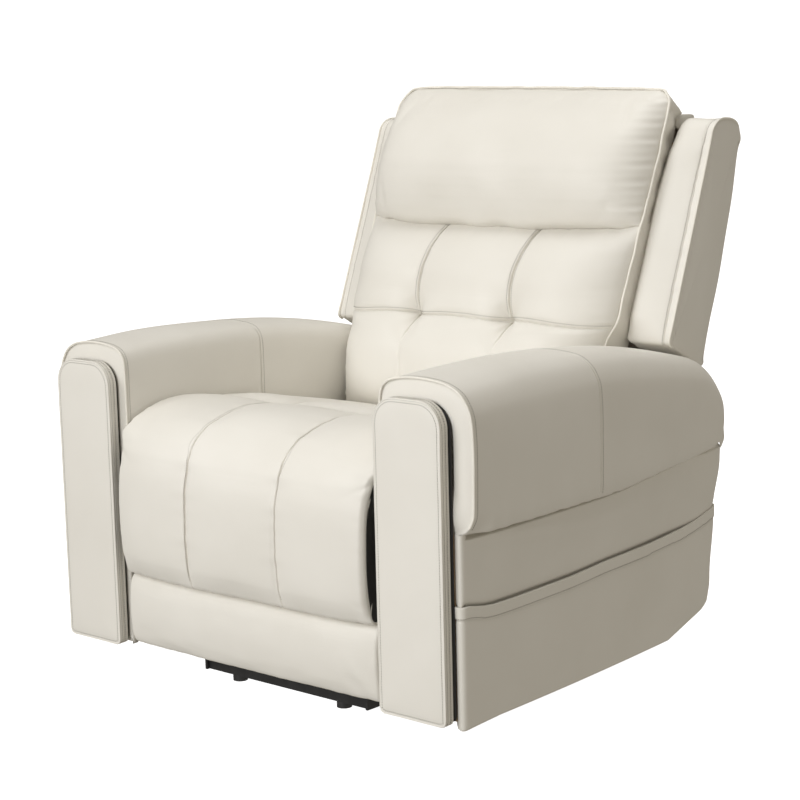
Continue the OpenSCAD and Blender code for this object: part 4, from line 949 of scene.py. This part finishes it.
def back_cushion_grid():
    """Back cushion: three filled panels over three, drawn in at the tufts, with its sides and rear."""
    zs = crowded(BACK_LOW, BACK_HIGH, 220, marks=(TUFT_Z + 4, BACK_HIGH), width=12, pull=6)
    us = crowded(-1, 1, 230, marks=(-BACK_CHANNEL / 310, BACK_CHANNEL / 310, -1, 1), width=0.02, pull=9)
    z, u = zs[:, None], us[None]
    half = back_half(z)
    x = u * half
    a = np.abs(x)
    rim = np.maximum(0, 1 - np.abs(u) ** 5) ** 0.62
    swell = along_keys(z, smooth_line(SWELL, 6))
    upper = ease((z - 548) / 40)
    crown = 8.5 * panel_crown(x, BACK_CHANNEL, 312.0) * (0.45 + 0.55 * upper)
    dz = z - tuft_seam(x, half)
    d = a - BACK_CHANNEL
    dent = 9.0 * (0.4 * bell(dz, 7) + 0.6 * bell(dz, 24)) + 26.0 * bell(np.hypot(d, 0.8 * dz), 25) \
        + 5.0 * bell(np.hypot(d, dz), 9)
    foot, head = ease((z - 412) / 60), 0.3 + 0.7 * ease((SEAM_Z - z) / 40)
    depth = rim * (swell + crown * foot * head - dent)
    grid_front = np.stack([x, piped_y(z) - depth, z + 0 * u], axis=2)
    fine = (-1.3 * bell(d, 6) - 4.4 * bell(d, 1.3)) * (0.12 + 0.88 * upper) - 4.4 * bell(dz, 1.4)
    fine = fine + 0.6 * gathers(z, d, 81, 44, 14) * (0.3 + 0.7 * upper) + 0.5 * gathers(x, dz, 82, 44, 13)
    fine = fine + 1.2 * waves(x, z, 83, short=80, long=240)
    fine = fine + 1.5 * gathers(x, SEAM_Z - z, 84, 30, 18)
    fine = fine + 1.6 * gathers(z, (1 - np.abs(u)) * 300, 85, 28, 20)
    spoke = np.arctan2(dz, d)
    fine = fine + 1.2 * np.sin(5 * spoke + 1.1 * np.sign(x)) * bell(np.hypot(d, dz) - 16, 11)
    share = np.linspace(0, 1, 8)[None, 1:-1]
    rear = wing_face(z) - 0.5
    right = np.stack([half + 0 * share, piped_y(z) + (rear - piped_y(z)) * share, z + 0 * share], axis=2)
    back_us = np.linspace(1, -1, 40)[None]
    rear_face = np.stack([back_us * half, rear + 0 * back_us, z + 0 * back_us], axis=2)
    left = right[:, ::-1] * np.array([-1.0, 1.0, 1.0])
    right, left = (np.stack([g[..., 0] - np.sign(g[..., 0]) * 1.5, g[..., 1], g[..., 2]], axis=2)
                   for g in (right, left))
    grid = np.concatenate([grid_front, right, rear_face, left], axis=1)
    n = grid_front.shape[1]
    held = np.ones(grid.shape[:2])
    held[:, :n] = np.clip(bell(d, 9) * (0.3 + 0.7 * upper) + bell(dz, 9) + bell((1 - np.abs(u)) * 300, 10)
                          + bell(z - BACK_HIGH, 10) + bell(z - BACK_LOW, 10), 0, 1)
    height = np.zeros(grid.shape[:2])
    height[:, :n] = fine * rim
    return grid, height, held, n, dz


# Side view of the pillow: depth from the piping, and share of the way up from its seam.
PILLOW = [(8, 0), (-20, .003), (-43, .045), (-58, .105), (-69, .18), (-77, .27), (-82, .37), (-84, .48),
          (-76, .66), (-53, .84), (-23, .96), (-3, .998), (8, .99)]
PILLOW_HIGH = 240.0


def pillow_grid():
    """Headrest pillow: overhangs its lower seam, gathered all round."""
    xs = crowded(-1, 1, 190, marks=(-1, 1, -0.82, 0.82), width=0.05, pull=3)
    profile = smooth_line([(off, share * PILLOW_HIGH) for off, share in PILLOW], 16)
    whole = lengths(profile)[-1]
    profile = at_lengths(profile, crowded(0, whole, 160, marks=(0, whole - 30), width=14, pull=3))
    u = xs[:, None]
    off, share = profile[:, 0][None], profile[:, 1][None] / PILLOW_HIGH
    x_top = u * BACK_HALF
    top = pillow_top(x_top)
    sag = -13.0 * (1 - np.abs(u) ** 3) * (1 - ease(share / 0.3)) - 3.0 * (1 - ease(share / 0.25))
    puckers = 1.9 * np.sin(x_top / 23.0 + 1.2 * np.sin(x_top / 57.0))
    sag = sag + puckers * (1 - ease(share / 0.12)) * (1 - np.abs(u) ** 6)
    z = SEAM_Z + 1.0 + (top - SEAM_Z - 1.0) * share + sag
    rim = np.maximum(0, 1 - np.abs(u) ** 6) ** 0.62
    x = u * back_half(z)
    y = piped_y(z) + np.where(off < 0, off * rim, off)
    front = np.stack([x, y, z], axis=2)
    rear = []
    for k in (0.93, 0.7, 0.45, 0.2, 0.0):
        zz = SEAM_Z + 1 + (top - SEAM_Z - 1) * k
        rear.append(np.stack([u * (back_half(zz) - 6), piped_y(zz) + 9, zz], axis=2))
    grid = np.concatenate([front] + rear, axis=1)
    run = lengths(profile)[None]
    n = front.shape[1]
    rim_d = (1 - np.abs(u)) * 300
    fine = 1.9 * gathers(x, run, 91, 24, 18) + 3.0 * gathers(z, rim_d, 92, 23, 16)
    fine = fine + 1.3 * waves(x, run + 0 * x, 93, short=110, long=300)
    fine = fine + 1.0 * gathers(x, run.max() - 45 - run, 94, 40, 14) * (run > run.max() - 90)
    corner = bell(np.abs(x) - 300, 34) * bell(run - 8, 34)
    fine = fine + 3.4 * corner * np.sin((np.abs(x) * 0.9 + run * 0.5) / 6.8)
    height = np.zeros(grid.shape[:2])
    height[:, :n] = fine * rim ** 0.5
    held = np.ones(grid.shape[:2])
    held[:, :n] = np.clip(bell(run, 60) + bell(rim_d, 14) + (run > run.max() - 46), 0, 1)
    return grid, height, held


def pillow_top(x):
    """Upper edge of the pillow, rounder at its far corner and a little higher there."""
    radius = np.where(x > 0, 30.0, 48.0)
    return BACK_TOP - 2.0 - 4.0 * np.asarray(x) / 300.0 - 1.1 * round_over(BACK_HALF - np.abs(x), radius)


def edge_outline():
    """Where the piping runs, seen from the front: up one side, round the top and down the other."""
    heights = (430, 470, 522, 568, 605, 660, 720, 770, 820, 880, 930)
    near = [(float(back_half(z)), z) for z in heights]
    far = [(-x, z) for x, z in near]
    near_r, far_r = 32, 48
    near += [(BACK_HALF - near_r + near_r * math.cos(a), 975 + near_r * math.sin(a))
             for a in np.radians((8, 30, 52, 76))]
    far += [(-BACK_HALF + far_r - far_r * math.cos(a), 967 + far_r * math.sin(a))
            for a in np.radians((8, 28, 50, 76))]
    top = [(230, 1008.5), (130, 1011), (0, 1012.8), (-130, 1014.5), (-220, 1015.3)]
    return smooth_line(near + top + far[::-1], 10)


def back_edges():
    """Piping round the back, and the gusset behind it."""
    count = 420
    line = even(edge_outline(), count)
    normal = -inwards(line, closed=False)
    if normal[0, 0] < 0:
        normal = -normal
    s = np.arange(count)
    pulled = (0.5 * np.sin(s * 0.47) + 0.5 * np.sin(s * 0.29 + 1.0)) * 0.8
    cord = np.stack([line[:, 0] + normal[:, 0] * (1.5 + 0.5 * pulled), piped_y(line[:, 1]) - 1.0 + pulled,
                     line[:, 1] + normal[:, 1] * (1.5 + 0.5 * pulled)], axis=1)
    belongs(tube("back_piping", cord, PIPING, piping_highlight_leather), "back")
    # gusset behind the piping, falling in between the wings and gathered at the upper corners
    v = np.linspace(0, 1, 30)[None]
    s = s[:, None]
    x0, z0 = line[:, 0][:, None], line[:, 1][:, None]
    x1 = np.sign(x0) * np.minimum(np.abs(x0), 299.0 + 7.0 * ease((z0 - 952) / 12))
    z1 = np.minimum(z0, 963.0)
    y0, y1 = piped_y(z0), wing_face(z1) + 26.0
    corner = bell(np.abs(x0) - 305, 55) * bell(z0 - 975, 60)
    folds = np.sin(s * 0.62 + 4.0 * v) + 0.7 * np.sin(s * 0.37 - 3.0 * v + 1.0)
    bulge = 5.0 * np.sin(np.pi * v) ** 0.8 + (0.7 + 3.4 * corner) * folds * np.sin(np.pi * v)
    pulled_in = v + 0.10 * np.sin(np.pi * v)
    x, y, z = x0 + (x1 - x0) * pulled_in, y0 + (y1 - y0) * v, z0 + (z1 - z0) * v
    outer = np.stack([x + normal[:, :1] * bulge, y, z + normal[:, 1:] * bulge], axis=2)
    inner = np.stack([x - normal[:, :1] * 4, y, z - normal[:, 1:] * 4], axis=2)[:, ::-1]
    belongs(skin("back_gusset", np.concatenate([outer, inner], axis=1), leather), "back")


def finish_back():
    """Back cushion and pillow with their stitches, then the edges and the rear."""
    grid, height, held, n, dz = back_cushion_grid()
    grid = raised(grid + stuffed(grid, held, cap=5.0), height)
    belongs(skin("back_pad", grid, leather), "back", stands_for=["back_cushion"])
    rows = []
    face = on_skin(grid, np.arange(grid.shape[0])[:, None], np.arange(n)[None])
    keep = np.where((grid[:, 0, 2] > 612) & (grid[:, 0, 2] < 760))[0]
    for side in (-1, 1):
        for off in (-5.0, 5.0):
            col = np.abs(grid[:, :n, 0] - side * (BACK_CHANNEL + off)).argmin(1)
            rows.append(face[keep, col[keep]])
    row = np.abs(dz - 5.5).argmin(0)
    rows.append(face[row, np.arange(n)][6:-6])
    belongs(stitches("back_stitches", rows), "back")
    grid, height, held = pillow_grid()
    grid = raised(grid + stuffed(grid, held, cap=5.0), height)
    belongs(skin("head_pillow", grid, leather), "back", stands_for=["headrest_pillow"])
    back_edges()
    finish_rear()


# ---------- wings and the back's rear ----------
# How far the back's rear lies behind the wing's front edge at each height.
REAR_DEPTH = [(450, 128), (514, 128), (590, 123), (664, 123.5), (813, 111.7), (938, 91.3)]


def wing_outline(count=240):
    """Side view of a wing in y and z: up the front, over the top, down the rear and along the foot."""
    yc = wing_face(911.0) + 42.0
    front = [(wing_face(z), z) for z in (572, 606, 680, 760, 820, 870)]
    bend = [(yc + 40 * math.cos(a), WING_TOP_Z + 40 * math.sin(a))
            for a in np.radians((168, 150, 132, 112, 94))]
    corner = [(868, 953.5), (885, 951.5), (900, 945.5), (910, 937), (916, 925), (917, 912)]
    rear = [(wing_face(z) + float(along_keys(z, REAR_DEPTH)), z) for z in (890, 813, 740, 664, 590, 535)]
    low = [(795, 519), (785, 513.5), (775, 514.5), (764, 520.5), (730, 540), (700, 557.5), (689, 563)]
    line = smooth_line(front + bend + corner + rear + low, 12, closed=True)
    return even(np.concatenate([line, line[:1]]), count + 1)[:-1]


def wing_inner(z):
    """Inner side of a wing, which leans outwards towards its top."""
    return 301.0 + 22.0 * np.maximum(0, (z - 800) / 151) ** 1.5


def wing_grid():
    """A wing as outlines side by side in x, with its crowned front and the groove of its seam."""
    outline = wing_outline()
    inward = inwards(outline)
    if ((outline - outline.mean(0)) * inward).sum() > 0:
        inward = -inward
    stack = [(0.0, 108), (0.0, 80), (0.0, 50), (0.0, 25), (0.0, 14), (0.006, 9), (0.02, 6.0), (0.05, 3.2),
             (0.085, 1.5)]
    stack += [(k, 0.0) for k in crowded(0.12, 0.94, 40, (0.86,), 0.03, 4)]
    stack += [(0.965, 0.2), (0.985, 1.0), (0.996, 2.6), (1.0, 5.0), (1.0, 9), (1.002, 20), (1.01, 45),
              (1.016, 80), (1.018, 108)]
    middle = np.array([800.0, 735.0])
    rings = []
    for k, inset in stack:
        flat = outline + inward * min(inset, 9)
        if inset > 9:
            flat = middle + (flat - middle) * (1 - (inset - 9) / 100)
        inner = wing_inner(flat[:, 1])
        rings.append(np.stack([inner + (WING_OUT - inner) * k, flat[:, 0], flat[:, 1]], axis=1))
    grid = np.array(rings)
    k = np.array([s[0] for s in stack])[:, None]
    x, z = grid[..., 0], grid[..., 2]
    face = ease((wing_face(z) + 26 - grid[..., 1]) / 20)
    crown = 18.0 * ease(k / 0.24) * np.clip(1 - (np.clip(k - 0.2, 0, 1) / 0.72) ** 1.3, 0, 1)
    stitch = WING_OUT - 13.5 - x
    height = crown * ease((z - 560) / 50) * (0.35 + 0.65 * ease((940 - z) / 60)) \
        - 1.7 * bell(stitch, 1.6) - 1.0 * bell(stitch, 5) + 0.8 * waves(x, z, 95, short=90, long=260) \
        + 0.9 * gathers(z, stitch, 96, 34, 10)
    height = height * np.where((k > 0.02) & (k < 0.97), 1.0, 0.0) * face
    return raised(grid, height), outline


def finish_wings():
    """Wings with their piping and stitches."""
    grid, outline = wing_grid()
    last = int(np.hypot(outline[:, 0] - 917, outline[:, 1] - 914).argmin())
    line = even(smooth_line(outline[np.r_[236:240, 0:last]], 2), 200)
    out = -inwards(line, closed=False)
    if out[90, 0] > 0:
        out = -out
    stitch_ring = int(np.abs(grid[:, 60, 0] - (WING_OUT - 17.0)).argmin())
    sewn = on_skin(grid, stitch_ring, np.r_[238:240, 0:last - 4])
    end_tuck = 5.0 * ease((np.arange(len(line)) - 184) / 15)
    beside = line + out * 0.4
    cord = np.column_stack([WING_OUT - 1.0 - end_tuck, beside])
    for side in (1, -1):
        label, turn = sided(side)
        belongs(skin(label + "_wing_pad", turn(grid), leather), "back", stands_for=[label + "_wing"])
        belongs(tube(label + "_wing_piping", turn(cord), WING_PIPING, piping_highlight_leather), "back")
        belongs(stitches(label + "_wing_stitches", [turn(sewn)]), "back")


def finish_rear():
    """Upholstered rear of the back, tucked over the top rail, with small cheeks at its upper corners."""
    def rear_y(z):
        return np.minimum(917.0, wing_face(z) + along_keys(z, REAR_DEPTH))
    top = [(wing_face(958) + 6, 960.5), (wing_face(958) + 26, 961), (880, 961), (897, 960.7), (904.5, 959),
           (907.8, 954), (911.5, 946), (916.6, 934)]
    down = [(float(rear_y(z)) + 0.4, z) for z in (905, 860, 813, 760, 700, 640, 580, 514, 470, 452)]
    across, along = 110, 150
    outer = even(smooth_line(top + down, 12), along)
    point = np.arange(along)
    inner = outer - np.stack([np.interp(point, [0, 40, 60, along - 1], [0, 2, 8, 8]),
                              np.interp(point, [0, 25, 50, along - 1], [5, 5, 0, 0])], axis=1)
    outline = np.concatenate([outer, inner[::-1]])
    marks = (-REAR_HALF, REAR_HALF, -REAR_SEAM, REAR_SEAM)
    us = crowded(-REAR_HALF, REAR_HALF, across, marks=marks, width=7, pull=4)
    x = us[:, None]
    z = outline[:, 1][None]
    shrink = round_over(REAR_HALF - np.abs(x), 5.0) * 0.8
    wider = 1 + 0.016 * ease((z - 925) / 20)
    grid = np.stack([x * wider, outline[:, 0][None] - shrink, z + 0 * x], axis=2)
    on_rear = (np.arange(2 * along) < along)[None]
    seam = np.abs(x) - REAR_SEAM
    height = 3.0 * (1 - (np.abs(x) / REAR_HALF) ** 4) * ease((940 - z) / 60) * ease((z - 452) / 40) \
        - 2.2 * bell(seam, 1.8) - 1.0 * bell(seam, 7) + 1.1 * waves(x, z, 97, short=120, long=340) \
        + 0.8 * gathers(z, seam, 98, 46, 16)
    grid = raised(grid, height * on_rear * ease((956 - z) / 14))
    belongs(skin("back_rear_cover", grid, leather), "back", stands_for=["back_rear_panel"])
    cheek = [(849, 938), (849, 952), (850.5, 959), (854, 960.6), (880, 960.8), (897, 960.5), (904.8, 958.6),
             (907.8, 953.5), (911, 945), (914, 934), (912, 925), (880, 928)]
    line = even(smooth_line(cheek, 8, closed=True), 90)[:-1]
    middle = line.mean(0)
    rings = [np.column_stack([np.full(len(line), x), middle + (line - middle) * k])
             for x, k in ((299.0, 0.97), (302.6, 1.0), (303.6, 0.985), (304.0, 0.95), (304.0, 0.3))]
    for side in (1, -1):
        label, turn = sided(side)
        belongs(skin(label + "_rear_cheek", turn(np.array(rings)), leather), "back")
    face = on_skin(grid, np.arange(across)[:, None], point[None])
    rows = [face[int(np.abs(us - v).argmin()), 44:146] for v in (-243.5, -232.5, 232.5, 243.5)]
    belongs(stitches("rear_stitches", rows), "back")


def finish_rear_skirt():
    """Leather stretched over the board that joins the arms at the rear."""
    across, along = 120, 70
    outer = even(smooth_line([(743, 284.2), (752, 284.6), (761, 284), (764.6, 279), (765.4, 250),
                              (765.6, 220), (765.4, 190), (764.4, 165), (761, 159.6), (752, 159.2),
                              (743, 159.6)], 8), along)
    board_front = np.array([743.0, 222.0])
    inner = board_front + (outer - board_front) * np.array([0.88, 0.98])
    outline = np.concatenate([outer, inner[::-1]])
    x = np.linspace(-299.5, 299.5, across)[:, None]
    grid = np.stack(np.broadcast_arrays(x, outline[:, 0][None], outline[:, 1][None]), axis=2)
    z = grid[..., 2]
    on_rear = (np.arange(2 * along) < along)[None] * ease((z - 160) / 20) * ease((283 - z) / 20)
    relief = 1.2 + 0.9 * waves(x, z, 99, short=110, long=300) - 1.6 * bell(z - 182, 1.6)
    grid = raised(grid, relief * on_rear)
    belongs(skin("rear_skirt", grid, leather), "chair_frame")
    row = int(np.abs(outer[20:60, 1] - 187).argmin()) + 20
    sewn = on_skin(grid, np.arange(2, across - 2), row)
    belongs(stitches("rear_skirt_stitches", [sewn]), "chair_frame")


# ---------- handset ----------
def finish_handset():
    """Stitched pouch on the far arm, open at the top."""
    low, high = [np.array(v) * 1000.0 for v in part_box("handset_pouch")]
    low[1] -= FRONT_Y * 1000.0
    high[1] -= FRONT_Y * 1000.0
    thick, wide = 24.0, 55.0
    walls = []
    for inset, base in ((0.0, low[2]), (1.8, low[2] + 2.0)):
        ring = rounded_outline(low[0] + inset, low[1] + inset, high[0] - inset * 0.4, high[1] - inset,
                               4.0, 4.0, 80)
        levels = [(base, 5.0), (base + 0.8, 2.2), (base + 3, 0.6)]
        levels += [(z, 0.0) for z in np.linspace(base + 6, high[2] - 1.2, 22)] + [(high[2] - 0.3, 0.3)]
        middle = ring.mean(0)
        rings = [np.column_stack([middle[0] + (ring[:, 0] - middle[0]) * (1 - 2 * i / thick),
                                  middle[1] + (ring[:, 1] - middle[1]) * (1 - 2 * i / wide),
                                  np.full(len(ring), z)])
                 for z, i in levels]
        walls.append(np.array(rings))
    grid = np.concatenate([walls[0], walls[1][::-1]])
    belongs(skin("handset_holder", grid, leather), "chair_frame", stands_for=["handset_pouch"])
    hem = walls[0][-6]
    outward_row = hem + (hem - hem.mean(0)) * np.array([0.02, 0.01, 0.0])
    closed_row = np.concatenate([outward_row, outward_row[:1]])
    belongs(stitches("holder_stitches", [closed_row], 5.0, 3.6, 0.7), "chair_frame")


# ---------- the scene ----------
def camera():
    """Long lens a little above the back's height, off the near front corner, looking slightly down."""
    az, el, roll = math.radians(41.513), math.radians(9.499), math.radians(-1.4147)
    back = Vector((math.sin(az) * math.cos(el), -math.cos(az) * math.cos(el), math.sin(el)))
    right = (-back).cross(Vector((0, 0, 1))).normalized()
    up = right.cross(-back)
    across = right * math.cos(roll) + up * math.sin(roll)
    over = -right * math.sin(roll) + up * math.cos(roll)
    lens = bpy.data.cameras.new("view")
    lens.lens, lens.sensor_width, lens.clip_end = 90.654, 36.0, 60.0
    eye = linked("view", lens)
    turn = Matrix((across, over, back)).transposed().to_4x4()
    eye.matrix_world = Matrix.Translation(Vector(place((2366.36, -2259.65, 1066.30)).tolist())) @ turn
    bpy.context.scene.camera = eye


def lamp(name, at, size, power, aim=(0.0, 0.0, 0.5), tint=(1, 1, 1)):
    light = bpy.data.lights.new(name, "AREA")
    light.shape, light.size, light.energy, light.color = "DISK", size, power, tint
    ob = linked(name, light)
    ob.location = at
    ob.rotation_euler = (Vector(aim) - Vector(at)).to_track_quat("-Z", "Y").to_euler()


def studio():
    """White paper all round. The key light stands in front on the far side; the others fill in."""
    finish, tree, shader, where = blank_finish("studio_paper")
    tree.links.new(blended(tree, noise(tree, where, 1.5), (0.93, 0.93, 0.93), (0.95, 0.95, 0.95)),
                   shader.inputs["Base Color"])
    shader.inputs["Roughness"].default_value = 0.9
    shader.inputs["Emission Color"].default_value = (1, 1, 1, 1)
    shader.inputs["Emission Strength"].default_value = 1.0
    around = 48
    turn = np.linspace(0, 2 * math.pi, around, endpoint=False)
    rings = [[[r * math.cos(a), r * math.sin(a), h] for a in turn] for r, h in
             ((0.02, 0), (4, 0), (9, 0), (11, 0.5), (12, 2), (12, 8))]
    mesh = bpy.data.meshes.new("studio_floor")
    faces = grid_faces(len(rings), around) + [list(range(around))]
    mesh.from_pydata(np.array(rings).reshape(-1, 3).tolist(), [], faces)
    mesh.shade_smooth()
    mesh.materials.append(finish)
    floor = linked("studio_floor", mesh)
    floor.visible_diffuse = floor.visible_glossy = floor.visible_shadow = False
    world = bpy.context.scene.world or bpy.data.worlds.new("studio")
    bpy.context.scene.world = world
    world.use_nodes = True
    world.node_tree.nodes["Background"].inputs["Color"].default_value = (1.0, 0.94, 0.83, 1)
    world.node_tree.nodes["Background"].inputs["Strength"].default_value = 0.32
    lamp("key", (-2.6, -6.8, 4.6), 4.0, 255, aim=(0, -0.1, 0.5), tint=(0.98, 0.985, 1.0))
    lamp("front", (0.45, -3.3, 0.95), 0.8, 36, aim=(0.3, -0.2, 0.4), tint=(0.98, 0.985, 1.0))
    lamp("top", (0.35, 0.2, 3.4), 2.0, 34, aim=(0.1, 0, 0.5))
    lamp("low", (3.0, 0.2, -0.2), 1.6, 6.6, aim=(0.4, 0, 0.2), tint=(1.0, 0.93, 0.82))
    bpy.context.scene.view_settings.view_transform = "Standard"


def hardware_finishes():
    """Finish of each CAD node that stays in sight, by its material slot."""
    by_slot = {"black_steel": powder_black, "bright_steel": zinc, "black_plastic": moulded,
               "plywood": birch_ply, "leather": leather}
    buttons = ("lift_up", "lift_down", "recline", "return")
    own = {name + "_button": button_plastic for name in buttons}
    for part in frame["record"]["subparts"]:
        name = part["node"]
        shapes = frame["nodes"][name].data
        shapes.materials.clear()
        shapes.materials.append(own.get(name, by_slot[part["material_slot"]]))


camera()
studio()
hardware_finishes()
for arm in (1, -1):
    built_arm(arm)
finish_chaise()
finish_small_pads()
finish_back()
finish_wings()
finish_rear_skirt()
finish_handset()
bpy.context.view_layer.update()
